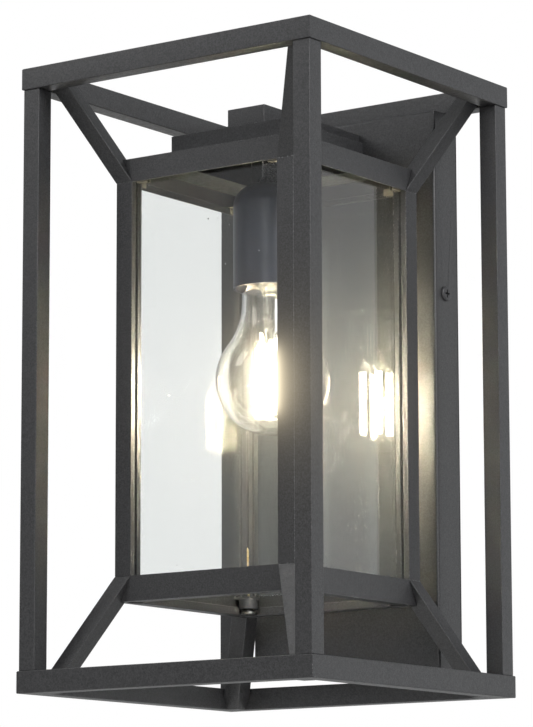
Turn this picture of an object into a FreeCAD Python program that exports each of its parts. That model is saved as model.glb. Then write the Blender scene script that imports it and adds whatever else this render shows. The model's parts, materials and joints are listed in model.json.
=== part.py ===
"""Outdoor wall lantern: an open square cage holding a glazed lantern, hung from a wall box.

Frame: millimetres, +Z up, the wall is the plane Y = 0 and the lantern stands out along -Y.
The origin is the centre of the mounting bracket, on the wall. Heights in the sheet are
counted up from the underside of the cage, and level() turns them into this frame.
"""
import FreeCAD, Part
import math
import os
import Sketcher
from FreeCAD import Placement, Rotation, Vector

DIMENSIONS = [
    # cage of square tube
    ("cage_side", 190.0, "width and depth of the cage"),
    ("cage_height", 337.0, "height of the cage"),
    ("outlet_height", 222.5, "mounting bracket centre above the cage's underside"),
    ("rail_height", 11.8, "height of a ring's tube"),
    ("rail_width", 10.0, "width of a ring's tube"),
    ("tube_wall", 1.2, "wall of all square tube"),
    ("post_side", 10.5, "side of a cage post"),
    ("post_inset", 0.8, "cage post's outer face behind the ring's outer face"),
    # glazed lantern
    ("lantern_half", 58.4, "half width of the glazed lantern"),
    ("corner_side", 10.5, "side of a lantern post and of a strut"),
    ("tray_low", 48.7, "lower edge of the tray"),
    ("tray_high", 62.3, "upper edge of the tray"),
    ("hood_low", 275.1, "lower edge of the hood"),
    ("shelf_high", 287.9, "top of the hood's lower step"),
    ("tier_high", 302.4, "top of the hood's upper step"),
    ("tier_half", 37.4, "half width of the hood's upper step"),
    ("sheet", 1.0, "hood and tray sheet"),
    ("reach", 2.7, "how far posts and panes reach inside hood and tray"),
    ("notch", 1.3, "skin milled off a lantern post where it enters hood or tray"),
    ("plate_side", 10.0, "side of a corner plate"),
    ("flange_width", 8.0, "tray's inward flange, from its outer face"),
    ("flange_notch", 5.4, "radius of the notch round a screw head in the flange's corner"),
    ("lip_height", 4.5, "tray's upturned lip, from the tray's lower edge"),
    ("lip_half", 42.0, "half length of a lip"),
    ("plate_thick", 1.5, "thickness of a corner plate"),
    ("groove_inset", 5.0, "pane's middle behind the lantern's outer face"),
    ("groove_width", 3.0, "width of a pane's groove"),
    ("groove_depth", 3.0, "depth of a pane's groove"),
    ("pane_thick", 2.4, "pane thickness"),
    ("pane_play", 0.3, "clearance at a pane's edges"),
    ("port_inset", 8.7, "screw port's axis behind the lantern's outer faces"),
    ("port_radius", 1.35, "screw port radius"),
    ("port_slot", 1.2, "width of the slot that opens the port"),
    ("strut_reach", 82.6, "strut's outer corner from the axis, level with the ring"),
    # corner screws
    ("shank_radius", 1.3, "corner screw shank"),
    ("screw_play", 0.3, "clearance round a corner screw"),
    ("shank_tip", 87.0, "height that a lower corner screw's point reaches"),
    ("point_length", 3.0, "tapered point of a lower corner screw"),
    ("point_radius", 0.15, "blunt end of that point"),
    ("top_shank", 18.0, "upper corner screw's shank length"),
    ("top_head", 2.0, "upper corner screw's head thickness"),
    ("spacer_radius", 5.2, "spacer under a tray corner"),
    ("spacer_low", 52.6, "lower end of a spacer"),
    ("head_low", 49.4, "lower face of a lower corner screw's head"),
    ("head_radius", 4.6, "widest radius of a corner screw's head"),
    ("head_neck", 2.9, "narrow radius of a corner screw's head"),
    ("clip_width", 7.2, "glass clip, along the pane"),
    ("clip_height", 3.8, "glass clip, height"),
    ("clip_wall", 0.8, "glass clip, wall"),
    ("clip_gap", 0.2, "gap between a glass clip and the corner plate beside it"),
    # arm
    ("arm_width", 24.4, "width of the hanging arm"),
    ("arm_high", 317.0, "top of the hanging arm"),
    ("arm_front", 115.2, "front end of the arm, out from the wall"),
    ("end_cap", 2.0, "thickness of the arm's end plate"),
    # lamp holder
    ("lamp_out", 91.0, "lamp axis, out from the wall"),
    ("cup_radius", 20.5, "socket cup radius"),
    ("cup_low", 220.2, "rim of the socket cup"),
    ("cup_high", 276.8, "top of the socket cup"),
    ("cup_shoulder", 11.0, "radius of the cup's shoulder"),
    ("cup_wall", 0.8, "wall of the cup"),
    ("nipple_radius", 4.9, "threaded nipple radius"),
    ("nipple_bore", 3.7, "nipple bore radius"),
    ("nipple_play", 0.2, "clearance round the nipple"),
    ("nipple_low", 262.0, "lower end of the nipple"),
    ("nipple_high", 307.0, "upper end of the nipple"),
    ("thread_play", 0.05, "clearance between a thread and its nut or tap"),
    ("nut_flat", 7.0, "half the locknut's width across flats"),
    ("nut_thick", 3.0, "locknut thickness"),
    ("washer_radius", 8.2, "star washer radius"),
    ("washer_thick", 0.9, "star washer thickness"),
    ("tooth_reach", 1.0, "how far a washer tooth stands out"),
    ("tooth_width", 1.6, "width of a washer tooth"),
    ("holder_radius", 19.2, "ceramic holder radius"),
    ("holder_low", 225.0, "lower face of the ceramic holder"),
    ("holder_high", 262.0, "upper face of the ceramic holder"),
    ("holder_bevel", 3.0, "bevel round the holder's upper edge"),
    ("cavity_radius", 14.6, "bore of the ceramic holder"),
    ("cavity_high", 251.5, "roof of the holder's bore"),
    ("shell_radius", 14.55, "screw shell, outside"),
    ("shell_wall", 0.5, "screw shell, wall"),
    ("shell_low", 225.6, "lower edge of the screw shell"),
    ("shell_high", 247.6, "upper edge of the screw shell"),
    ("tongue_width", 5.0, "centre contact strip width"),
    ("tongue_thick", 0.6, "centre contact strip thickness"),
    ("tongue_gap", 0.4, "centre contact above the bulb's tip"),
    ("tongue_back", 3.6, "bend of the centre contact, sideways from the lamp's axis"),
    ("tongue_front", 4.0, "free end of the centre contact, past the lamp's axis"),
    ("foot_length", 5.4, "centre contact's foot on the holder's roof"),
    # bulb, 60 mm with a 26 mm screw cap
    ("bulb_radius", 30.2, "widest radius of the bulb"),
    ("bulb_centre", 170.2, "height of the bulb's widest place"),
    ("neck_radius", 15.8, "bulb neck radius"),
    ("neck_low", 212.5, "height where the neck becomes straight"),
    ("neck_high", 217.5, "height where the neck starts to close in"),
    ("glass_wall", 0.8, "bulb glass"),
    ("cap_radius", 13.1, "screw cap radius"),
    ("cap_low", 221.9, "lower edge of the screw cap"),
    ("cap_high", 245.4, "upper edge of the screw cap's thread"),
    ("cap_wall", 0.4, "screw cap sheet"),
    ("cap_play", 0.2, "clearance of the glass inside the screw cap"),
    ("thread_depth", 0.6, "depth of the screw cap's thread"),
    ("thread_pitch", 3.9, "distance between the screw cap's rings"),
    ("cap_lip", 1.5, "plain edge of the screw cap above and below its rings"),
    ("contact_high", 248.2, "top of the tip contact"),
    ("contact_radius", 5.0, "tip contact radius"),
    ("contact_dome", 0.8, "height of the tip contact's rounded edge"),
    ("ring_play", 0.3, "clearance round the insulator"),
    ("glass_ring_radius", 9.4, "radius of the insulator round the tip contact"),
    ("stem_flare", 9.6, "stem's flare radius"),
    ("stem_rim", 12.0, "radius of the stem's rim, which closes the neck"),
    ("stem_radius", 4.2, "stem tube radius"),
    ("stem_low", 192.5, "lower end of the stem"),
    ("filament_radius", 1.0, "filament stick radius"),
    ("filament_length", 36.5, "filament stick length"),
    ("filament_ring", 7.5, "filaments' distance from the axis"),
    ("filament_high", 187.5, "filaments' upper ends"),
    ("wire_radius", 0.3, "radius of the wires that hold the filaments"),
    ("mast_radius", 0.5, "radius of the wire down from the stem"),
    ("hub_radius", 0.9, "radius of the beads where the filament wires meet"),
    ("hub_height", 1.6, "height of those beads"),
    ("hub_gap", 1.4, "beads above and below the filaments' ends"),
    ("stem_tip", 0.55, "stem's narrow end as a share of its tube"),
    ("stem_taper", 5.0, "height of the stem's tapered end"),
    ("flare_rise", 9.0, "height of the stem's flare"),
    ("rim_thick", 0.8, "thickness of the stem's rim"),
    # wall box and bracket
    ("box_half", 61.7, "half width of the wall box"),
    ("box_depth", 23.5, "wall box front, out from the wall"),
    ("box_low", 16.0, "lower edge of the wall box"),
    ("box_high", 324.6, "upper edge of the wall box"),
    ("box_wall", 1.2, "wall box sheet"),
    ("box_corner", 1.6, "outer radius of the wall box's bends"),
    ("side_hole_play", 0.2, "clearance of a side screw in the wall box"),
    ("gasket_play", 0.4, "gasket's edge inside the wall box's outline"),
    ("ear_play", 0.6, "gasket clear of the bracket"),
    ("gasket_thick", 1.5, "foam gasket on the wall"),
    ("gasket_width", 6.0, "width of the gasket strip"),
    ("bracket_half", 59.3, "half width of the mounting bracket"),
    ("bracket_rise", 32.0, "half height of the bracket's plate"),
    ("bracket_wall", 1.8, "bracket steel"),
    ("ear_depth", 20.0, "bracket ear, out from the wall"),
    ("ear_rise", 13.0, "half height of a bracket ear"),
    ("slot_spacing", 88.9, "junction box screws, centre to centre"),
    ("slot_radius", 2.4, "half width of a bracket slot"),
    ("slot_length", 14.0, "end to end length of a bracket slot"),
    ("entry_radius", 12.0, "supply wire hole in the bracket"),
    ("side_screw_out", 13.7, "side screws, out from the wall"),
    ("side_shank", 2.0, "side screw radius"),
    ("side_head", 4.1, "side screw head radius"),
    ("side_head_thick", 1.5, "side screw head height"),
    ("side_crown", 1.1, "rounding of a side screw's head"),
    ("side_length", 8.0, "side screw shank length"),
    ("ground_side", 25.0, "ground screw, sideways from the bracket's middle"),
    ("ground_rise", 22.0, "ground screw, up from the bracket's middle"),
    ("ground_radius", 1.7, "ground screw radius"),
    ("ground_shank", 1.6, "ground screw's shank behind its washer head"),
    ("collar_radius", 4.2, "ground screw's washer head radius"),
    ("collar_thick", 1.0, "ground screw's washer head thickness"),
    ("ground_hex", 3.6, "ground screw's hexagon, corner radius"),
    ("ground_head", 2.6, "ground screw's hexagon height over its shank's start"),
    ("cross_width", 1.1, "width of a cross recess"),
    ("cross_length", 4.4, "length of a cross recess"),
    ("cross_depth", 1.4, "depth of a cross recess"),
    # wiring
    ("lead_radius", 1.1, "insulated lead radius"),
    ("lead_spread", 2.2, "leads' distance from the arm's middle plane"),
    ("arm_lead_high", 313.5, "leads' height inside the arm"),
    ("lead_low", 262.0, "leads' lower ends inside the cup"),
    ("nut_top", 282.0, "wide end of the wire connectors"),
    ("connector_length", 18.0, "wire connector length"),
    ("connector_wide", 4.6, "wire connector radius at its mouth"),
    ("connector_narrow", 2.8, "wire connector radius at its tip"),
    ("connector_spread", 11.0, "wire connectors' distance from the middle"),
    ("connector_depth", 4.0, "depth of the hole in a wire connector"),
    ("connector_out", 11.0, "wire connectors, out from the wall"),
    ("earth_share", 0.7, "bare ground lead's radius as a share of an insulated lead's"),
    ("touch_gap", 0.05, "gap between the ground lead and what it lies on"),
    ("bushing_hole", 6.0, "radius of the bushing's hole in the wall box"),
    ("bushing_flange", 8.0, "lead bushing's flange radius"),
    ("bushing_thick", 1.5, "lead bushing's flange thickness"),
    ("bushing_wall", 1.1, "lead bushing's wall"),
    ("bushing_play", 0.1, "clearance of the bushing in its hole"),
    ("bushing_nose", 1.0, "how far the bushing reaches through the wall box's sheet"),
]

SIDES = ["front", "right", "back", "left"]
CORNERS = ["front_left", "front_right", "back_right", "back_left"]
WASHER_TEETH = 12
CAP_RINGS = 5
FILAMENTS = 4

doc = FreeCAD.newDocument("wall_lantern")
sheet = doc.addObject("Spreadsheet::Sheet", "dims")
PARTS = []


class Size:
    """A length that knows both its value and the sheet formula that it comes from."""

    def __init__(self, value, text):
        self.value = float(value)
        self.text = text

    def __add__(self, other):
        other = size(other)
        return Size(self.value + other.value, f"({self.text} + {other.text})")

    def __sub__(self, other):
        other = size(other)
        return Size(self.value - other.value, f"({self.text} - {other.text})")

    def __rsub__(self, other):
        return size(other) - self

    def __mul__(self, other):
        other = size(other)
        return Size(self.value * other.value, f"({self.text} * {other.text})")

    def __truediv__(self, other):
        other = size(other)
        return Size(self.value / other.value, f"({self.text} / {other.text})")

    def __neg__(self):
        return Size(-self.value, f"(-{self.text})")

    __radd__ = __add__
    __rmul__ = __mul__


def size(thing):
    """A Size from a Size or a plain number."""
    if isinstance(thing, Size):
        return thing
    return Size(thing, f"({float(thing)!r})")


def fill_sheet():
    """Write name, value and meaning of every driving dimension into the sheet."""
    for row, (name, value, meaning) in enumerate(DIMENSIONS, start=1):
        sheet.set(f"A{row}", name)
        sheet.set(f"B{row}", str(value))
        sheet.set(f"C{row}", meaning)
        sheet.setAlias(f"B{row}", name)
    doc.recompute()


VALUES = {name: value for name, value, meaning in DIMENSIONS}


def dim(name):
    """A driving dimension."""
    return Size(VALUES[name], f"dims.{name}")


def level(name):
    """A height of the sheet in the part's own frame."""
    return dim(name) - dim("outlet_height")


def bind(thing, prop, amount):
    """Tie one property to its formula."""
    thing.setExpression(prop, size(amount).text)


def place(thing, x=0, y=0, z=0):
    """Tie an object's position to formulas."""
    for letter, amount in zip("xyz", (x, y, z)):
        bind(thing, f"Placement.Base.{letter}", amount)


# ---- shapes ------------------------------------------------------------------------------

def block(name, x, y, z):
    """A box from its low and high sides along each axis."""
    made = doc.addObject("Part::Box", name)
    for prop, (low, high) in zip(("Length", "Width", "Height"), (x, y, z)):
        bind(made, prop, size(high) - low)
    place(made, x[0], y[0], z[0])
    return made


def rod(name, x, y, z, radius):
    """An upright cylinder; z is its low and high end."""
    made = doc.addObject("Part::Cylinder", name)
    bind(made, "Radius", radius)
    bind(made, "Height", size(z[1]) - z[0])
    place(made, x, y, z[0])
    return made


def cross_rod(name, start, length, radius, direction):
    """A cylinder along any direction, from its start."""
    made = doc.addObject("Part::Cylinder", name)
    bind(made, "Radius", radius)
    bind(made, "Height", length)
    made.Placement = Placement(Vector(), Rotation(Vector(0, 0, 1), Vector(*direction)))
    place(made, *start)
    return made


def cone(name, x, y, z, low_radius, high_radius):
    """An upright cone; z is its low and high end."""
    made = doc.addObject("Part::Cone", name)
    bind(made, "Radius1", low_radius)
    bind(made, "Radius2", high_radius)
    bind(made, "Height", size(z[1]) - z[0])
    place(made, x, y, z[0])
    return made


def joined(name, pieces):
    """Several touching pieces as one solid."""
    made = doc.addObject("Part::MultiFuse", name)
    made.Shapes = pieces
    made.Refine = True
    return made


def without(name, base, tools):
    """The base with the tools cut away."""
    made = doc.addObject("Part::Cut", name)
    made.Base = base
    made.Tool = tools[0] if len(tools) == 1 else joined(f"{name}_tools", tools)
    made.Refine = True
    return made


def group(name, pieces):
    """Separate solids that share one node."""
    made = doc.addObject("Part::Compound", name)
    made.Links = pieces
    return made


def keep(made, label=None):
    """Name a finished sub-part and put it on the list."""
    made.Label = label or made.Name
    PARTS.append(made)
    return made


def on_axis(made, quarter=0):
    """Stand a piece drawn about the lantern's upright axis in its place, turned by quarters."""
    made.Placement = Placement(Vector(), Rotation(Vector(0, 0, 1), 90 * quarter))
    place(made, 0, -dim("cage_side") / 2, 0)
    return made


def on_lamp(made):
    """Stand a piece drawn about the lamp's axis in its place."""
    place(made, 0, -dim("lamp_out"), 0)
    return made


def outline(sketch, corners):
    """Draw a closed outline; a corner is (x, y) or (x, y, radius, turn) when an arc leaves it.

    turn is +1 for an arc that bends to the left and -1 for one that bends to the right.
    """
    count = len(corners)
    starts = []
    ends = []
    for index, corner in enumerate(corners):
        following = corners[(index + 1) % count]
        first = Vector(size(corner[0]).value, size(corner[1]).value, 0)
        last = Vector(size(following[0]).value, size(following[1]).value, 0)
        if len(corner) == 2:
            edge = sketch.addGeometry(Part.LineSegment(first, last), False)
            starts.append((edge, 1))
            ends.append((edge, 2))
            continue
        radius, turn = size(corner[2]), corner[3]
        edge = sketch.addGeometry(arc_between(first, last, radius.value, turn), False)
        starts.append((edge, 1 if turn > 0 else 2))
        ends.append((edge, 2 if turn > 0 else 1))
    for index in range(count):
        following = starts[(index + 1) % count]
        sketch.addConstraint(Sketcher.Constraint("Coincident", *ends[index], *following))
    for corner, (edge, point) in zip(corners, starts):
        pin(sketch, "DistanceX", (-1, 1, edge, point), corner[0])
        pin(sketch, "DistanceY", (-1, 1, edge, point), corner[1])
        if len(corner) > 2:
            pin(sketch, "Radius", (edge,), corner[2])


def pin(sketch, kind, where, amount):
    """One driving constraint, tied to its formula."""
    number = sketch.addConstraint(Sketcher.Constraint(kind, *where, size(amount).value))
    sketch.setExpression(f"Constraints[{number}]", size(amount).text)


def arc_between(first, last, radius, turn):
    """The shorter arc from first to last, counted anticlockwise as sketches need it."""
    chord = last - first
    across = Vector(-chord.y, chord.x, 0).normalize() * turn
    rise = math.sqrt(max(radius ** 2 - (chord.Length / 2) ** 2, 0))
    centre = (first + last) / 2 + across * rise
    begin, finish = (first, last) if turn > 0 else (last, first)
    begin_angle = math.atan2(begin.y - centre.y, begin.x - centre.x)
    finish_angle = math.atan2(finish.y - centre.y, finish.x - centre.x)
    circle = Part.Circle(centre, Vector(0, 0, 1), radius)
    return Part.ArcOfCircle(circle, begin_angle, finish_angle)


def body_sketch(body, role, name):
    """An empty sketch on one of a body's own origin planes."""
    sketch = body.newObject("Sketcher::SketchObject", name)
    plane = next(item for item in body.Origin.OriginFeatures if item.Role == role)
    sketch.AttachmentSupport = [(plane, "")]
    sketch.MapMode = "FlatFace"
    return sketch


def turned(name, corners):
    """A body turned about its own Z axis from an outline of (radius, height) corners."""
    body = doc.addObject("PartDesign::Body", name)
    sketch = body_sketch(body, "XZ_Plane", f"{name}_outline")
    outline(sketch, corners)
    spun = body.newObject("PartDesign::Revolution", f"{name}_spun")
    spun.Profile = sketch
    spun.ReferenceAxis = (sketch, ["V_Axis"])
    spun.Angle = 360
    body.Tip = spun
    return body


def padded(name, corners, low, height):
    """A body padded upwards from an outline of (x, y) corners at a given height."""
    body = doc.addObject("PartDesign::Body", name)
    sketch = body_sketch(body, "XY_Plane", f"{name}_outline")
    outline(sketch, corners)
    pad = body.newObject("PartDesign::Pad", f"{name}_pad")
    pad.Profile = sketch
    bind(pad, "Length", height)
    body.Tip = pad
    place(body, 0, 0, low)
    return body


# ---- cage --------------------------------------------------------------------------------

def mitred(name, outer, inner, low, height):
    """A bar along X whose plan is a trapezoid: outer and inner are distances from the axis."""
    corners = [(-outer, -outer), (outer, -outer), (inner, -inner), (-inner, -inner)]
    return padded(name, corners, low, height)


def cage_rail(ring, low, quarter):
    """One side of a ring: square tube, mitred at both ends."""
    name = f"cage_{ring}_{SIDES[quarter]}_rail"
    half = dim("cage_side") / 2
    wall = dim("tube_wall")
    width = dim("rail_width")
    height = dim("rail_height")
    skin = mitred(f"{name}_skin", half, half - width, low, height)
    bore = mitred(f"{name}_bore", half - wall, half - width + wall, low + wall, height - wall * 2)
    keep(on_axis(without(name, skin, [bore]), quarter))


def cage_post(quarter):
    """An upright of the cage: square tube between the two rings."""
    name = f"cage_{CORNERS[quarter]}_post"
    wall = dim("tube_wall")
    far = -(dim("cage_side") / 2 - dim("post_inset"))
    near = far + dim("post_side")
    low = level("rail_height")
    high = level("cage_height") - dim("rail_height")
    skin = block(f"{name}_skin", (far, near), (far, near), (low, high))
    inside = (far + wall, near - wall)
    bore = block(f"{name}_bore", inside, inside, (low - 1, high + 1))
    keep(on_axis(without(name, skin, [bore]), quarter))


def oblique_bar(name, low, high, low_corner, high_corner):
    """A leaning square bar: its outer front left corner moves out from the axis with height."""
    side = dim("corner_side")
    bar = doc.addObject("Part::Wedge", name)
    bind(bar, "Ymin", low)
    bind(bar, "Ymax", high)
    bind(bar, "Xmin", -low_corner)
    bind(bar, "Xmax", side - low_corner)
    bind(bar, "X2min", -high_corner)
    bind(bar, "X2max", side - high_corner)
    bind(bar, "Zmin", low_corner - side)
    bind(bar, "Zmax", low_corner)
    bind(bar, "Z2min", high_corner - side)
    bind(bar, "Z2max", high_corner)
    bar.Placement = Placement(Vector(), Rotation(Vector(1, 0, 0), 90))
    return bar


def strut(ring, quarter):
    """A brace from a corner of the glazed lantern out to the ring's inner corner."""
    name = f"{ring}_{CORNERS[quarter]}_strut"
    start = dim("lantern_half")
    inner = dim("cage_side") / 2 - dim("rail_width")
    far = dim("cage_side")
    upper = ring == "top"
    root = level("hood_low") if upper else level("tray_high")
    ring_edge = level("cage_height") - dim("rail_height") if upper else level("rail_height")
    ring_face = level("cage_height") if upper else -dim("outlet_height")
    lean = (dim("strut_reach") - start) / (ring_edge - root)
    end_corner = start + lean * (ring_face - root)
    if upper:
        bar = oblique_bar(f"{name}_bar", root, ring_face, start, end_corner)
        skirt = (root, level("shelf_high"))
    else:
        bar = oblique_bar(f"{name}_bar", ring_face, root, end_corner, start)
        skirt = (level("tray_low"), root)
    rails_x = block(f"{name}_rail_x", (-far, -inner), (-far, far), (root - 100, root + 100))
    rails_y = block(f"{name}_rail_y", (-far, far), (-far, -inner), (root - 100, root + 100))
    casing = block(f"{name}_casing", (-start, start), (-start, start), skirt)
    keep(on_axis(without(name, bar, [rails_x, rails_y, casing]), quarter))


# ---- glazed lantern ----------------------------------------------------------------------

def lantern_post(quarter):
    """A grooved corner post with an open screw port; its ends are thinned to enter the sheet."""
    name = f"lantern_{CORNERS[quarter]}_post"
    half = dim("lantern_half")
    side = dim("corner_side")
    notch = dim("notch")
    low = level("tray_high") - dim("reach")
    high = level("hood_low") + dim("reach")
    span = (low - 1, high + 1)
    bar = block(f"{name}_bar", (-half, side - half), (-half, side - half), (low, high))
    middle = dim("groove_inset") - half
    slit = (middle - dim("groove_width") / 2, middle + dim("groove_width") / 2)
    deep = (side - half - dim("groove_depth"), side - half + 1)
    port_at = dim("port_inset") - half
    tools = [
        block(f"{name}_front_groove", deep, slit, span),
        block(f"{name}_side_groove", slit, deep, span),
        rod(f"{name}_port", port_at, port_at, span, dim("port_radius")),
    ]
    slot = block(f"{name}_slot", (0, dim("port_inset") / 2), (0, dim("port_slot")), span)
    slot.Placement = Placement(Vector(), Rotation(Vector(0, 0, 1), 45))
    shift = dim("port_slot") / (2 * math.sqrt(2))
    place(slot, port_at + shift, port_at - shift, span[0])
    tools.append(slot)
    for end, zone in (("foot", (low - 1, level("tray_high"))), ("head", (level("hood_low"), high + 1))):
        tools.append(block(f"{name}_{end}_x", (-half - 1, notch - half), (-half - 1, half), zone))
        tools.append(block(f"{name}_{end}_y", (-half - 1, half), (-half - 1, notch - half), zone))
    keep(on_axis(without(name, bar, tools), quarter))


def corner_places():
    """Signs of the four corners with a tag for each."""
    for sign_x, side in ((-1, "left"), (1, "right")):
        for sign_y, face in ((-1, "front"), (1, "back")):
            yield sign_x, sign_y, f"{side}_{face}"


def corner_plates(name, low):
    """Four drilled corner plates inside the hood or the tray."""
    outer = dim("lantern_half") - dim("sheet")
    inner = outer - dim("plate_side")
    port_at = dim("lantern_half") - dim("port_inset")
    plates = []
    holes = []
    bore = dim("shank_radius") + dim("screw_play")
    zone = (low, low + dim("plate_thick"))
    hole_zone = (low - 1, low + dim("plate_thick") + 1)
    for sign_x, sign_y, tag in corner_places():
        spans = [(-outer, -inner) if sign < 0 else (inner, outer) for sign in (sign_x, sign_y)]
        plates.append(block(f"{name}_{tag}_plate", *spans, zone))
        hole_at = (port_at * sign_x, port_at * sign_y)
        holes.append(rod(f"{name}_{tag}_hole", *hole_at, hole_zone, bore))
    return plates, holes


def square(name, half, zone):
    """A square block about the lantern's axis."""
    return block(name, (-half, half), (-half, half), zone)


def hood():
    """The stepped sheet roof, open below, with corner plates and a hole for the nipple."""
    half, sheet_wall = dim("lantern_half"), dim("sheet")
    tier = dim("tier_half")
    low, shelf, top = level("hood_low"), level("shelf_high"), level("tier_high")
    skin = joined("hood_skin", [square("hood_step", half, (low, shelf)),
                                square("hood_tier", tier, (shelf - 1, top))])
    hollow = joined("hood_hollow", [
        square("hood_step_inside", half - sheet_wall, (low - 1, shelf - sheet_wall)),
        square("hood_tier_inside", tier - sheet_wall, (shelf - 3, top - sheet_wall)),
    ])
    plates, holes = corner_plates("hood", low + dim("reach"))
    lamp_shift = dim("cage_side") / 2 - dim("lamp_out")
    nipple_hole = rod("hood_nipple_hole", 0, lamp_shift, (top - 5, top + 5),
                      dim("nipple_radius") + dim("nipple_play"))
    shell = without("hood_shell", skin, [hollow])
    keep(on_axis(without("hood", joined("hood_with_plates", [shell, *plates]), [*holes, nipple_hole])))


def tray():
    """The lower sheet ring, open in the middle, with a lipped flange and corner plates."""
    half, sheet_wall = dim("lantern_half"), dim("sheet")
    low, high = level("tray_low"), level("tray_high")
    mouth = half - dim("flange_width")
    skin = square("tray_skin", half, (low, high))
    inside = square("tray_inside", half - sheet_wall, (low + sheet_wall, high + 1))
    opening = square("tray_mouth", mouth, (low - 1, low + sheet_wall + 1))
    ring = without("tray_ring", skin, [inside, opening])
    lips = []
    for quarter, side in enumerate(SIDES):
        strip = block(f"tray_{side}_strip", (-dim("lip_half"), dim("lip_half")),
                      (-mouth - sheet_wall, -mouth), (low, low + dim("lip_height")))
        lip = group(f"tray_{side}_lip", [strip])
        lip.Placement = Placement(Vector(), Rotation(Vector(0, 0, 1), 90 * quarter))
        lips.append(lip)
    plates, holes = corner_plates("tray", high - dim("reach") - dim("plate_thick"))
    port_at = half - dim("port_inset")
    for sign_x, sign_y, tag in corner_places():
        holes.append(rod(f"tray_{tag}_notch", port_at * sign_x, port_at * sign_y,
                         (low - 1, low + sheet_wall + 1), dim("flange_notch")))
    keep(on_axis(without("tray", joined("tray_with_plates", [ring, *lips, *plates]), holes)))


def pane(quarter):
    """One clear glass pane, held in the grooves of two posts."""
    play = dim("pane_play")
    edge = dim("lantern_half") - dim("corner_side") + dim("groove_depth") - play
    middle = dim("groove_inset") - dim("lantern_half")
    half_thick = dim("pane_thick") / 2
    low = level("tray_high") - dim("reach")
    high = level("hood_low") + dim("reach") - play
    name = f"{SIDES[quarter]}_pane"
    span = (middle - half_thick, middle + half_thick)
    glass = block(f"{name}_glass", (-edge, edge), span, (low, high))
    keep(on_axis(group(name, [glass]), quarter))


def glass_clips():
    """Two silicone clips over the top edge of each pane, beside the posts."""
    clips = []
    outer = dim("lantern_half") - dim("sheet") - dim("plate_side") - dim("clip_gap")
    inner = outer - dim("clip_width")
    middle = dim("groove_inset") - dim("lantern_half")
    half_thick = dim("pane_thick") / 2
    thick = half_thick + dim("clip_wall")
    high = level("hood_low") + dim("reach") + dim("clip_wall")
    low = high - dim("clip_height")
    for quarter, side in enumerate(SIDES):
        for hand, span in (("left", (-outer, -inner)), ("right", (inner, outer))):
            tag = f"{side}_{hand}_clip"
            skin = block(f"{tag}_skin", span, (middle - thick, middle + thick), (low, high))
            slit = block(f"{tag}_slit", (-outer - 1, outer + 1),
                         (middle - half_thick, middle + half_thick),
                         (low - 1, high - dim("clip_wall")))
            clip = without(tag, skin, [slit])
            clip.Placement = Placement(Vector(), Rotation(Vector(0, 0, 1), 90 * quarter))
            clips.append(clip)
    keep(on_axis(group("glass_clips", clips)))


def corner_hardware():
    """Long pointed screws and spacers under the tray, short screws inside the hood."""
    at = dim("lantern_half") - dim("port_inset")
    plate_low = level("tray_high") - dim("reach") - dim("plate_thick")
    spacers, long_screws, short_screws = [], [], []
    radius = dim("shank_radius")
    point = level("shank_tip")
    taper = point - dim("point_length")
    seat = level("hood_low") + dim("reach") + dim("plate_thick")
    for sign_x, sign_y, tag in corner_places():
        spot = (at * sign_x, at * sign_y)
        boss = rod(f"{tag}_boss", *spot, (level("spacer_low"), plate_low), dim("spacer_radius"))
        bore = rod(f"{tag}_boss_bore", *spot, (level("spacer_low") - 1, plate_low + 1),
                   radius + dim("screw_play"))
        spacers.append(without(f"{tag}_spacer", boss, [bore]))
        long_screws.append(joined(f"{tag}_long_screw", [
            cone(f"{tag}_long_head", *spot, (level("head_low"), level("spacer_low")),
                 dim("head_radius"), dim("head_neck")),
            rod(f"{tag}_long_shank", *spot, (level("spacer_low") - 1, taper), radius),
            cone(f"{tag}_long_point", *spot, (taper, point), radius, dim("point_radius")),
        ]))
        short_screws.append(joined(f"{tag}_short_screw", [
            rod(f"{tag}_short_head", *spot, (seat, seat + dim("top_head")), dim("head_neck")),
            rod(f"{tag}_short_shank", *spot, (seat - dim("top_shank"), seat + 1), radius),
        ]))
    keep(on_axis(group("tray_spacers", spacers)))
    keep(on_axis(group("tray_screws", long_screws)))
    keep(on_axis(group("hood_screws", short_screws)))


# ---- arm and lamp holder -----------------------------------------------------------------

def hanging_arm():
    """A rectangular tube from the wall box out over the hood; it carries the leads."""
    half = dim("arm_width") / 2
    wall = dim("tube_wall")
    low, high = level("tier_high"), level("arm_high")
    front, back = -dim("arm_front"), -dim("box_depth")
    skin = block("arm_skin", (-half, half), (front, back), (low, high))
    bore = block("arm_bore", (wall - half, half - wall), (front + dim("end_cap"), back + 1),
                 (low + wall, high - wall))
    hole = rod("arm_nipple_hole", 0, -dim("lamp_out"), (low - 1, low + wall + 1),
               dim("nipple_radius") + dim("nipple_play"))
    keep(without("hanging_arm", skin, [bore, hole]))


def socket_cup():
    """The spun metal cup over the lamp holder, with a rounded shoulder."""
    radius, wall = dim("cup_radius"), dim("cup_wall")
    low, high = level("cup_low"), level("cup_high")
    bend = dim("cup_shoulder")
    hole = dim("nipple_radius") + dim("nipple_play")
    keep(on_lamp(turned("socket_cup", [
        (radius, low),
        (radius, high - bend, bend, 1),
        (radius - bend, high),
        (hole, high),
        (hole, high - wall),
        (radius - bend, high - wall, bend - wall, -1),
        (radius - wall, high - bend),
        (radius - wall, low),
    ])))


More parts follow.
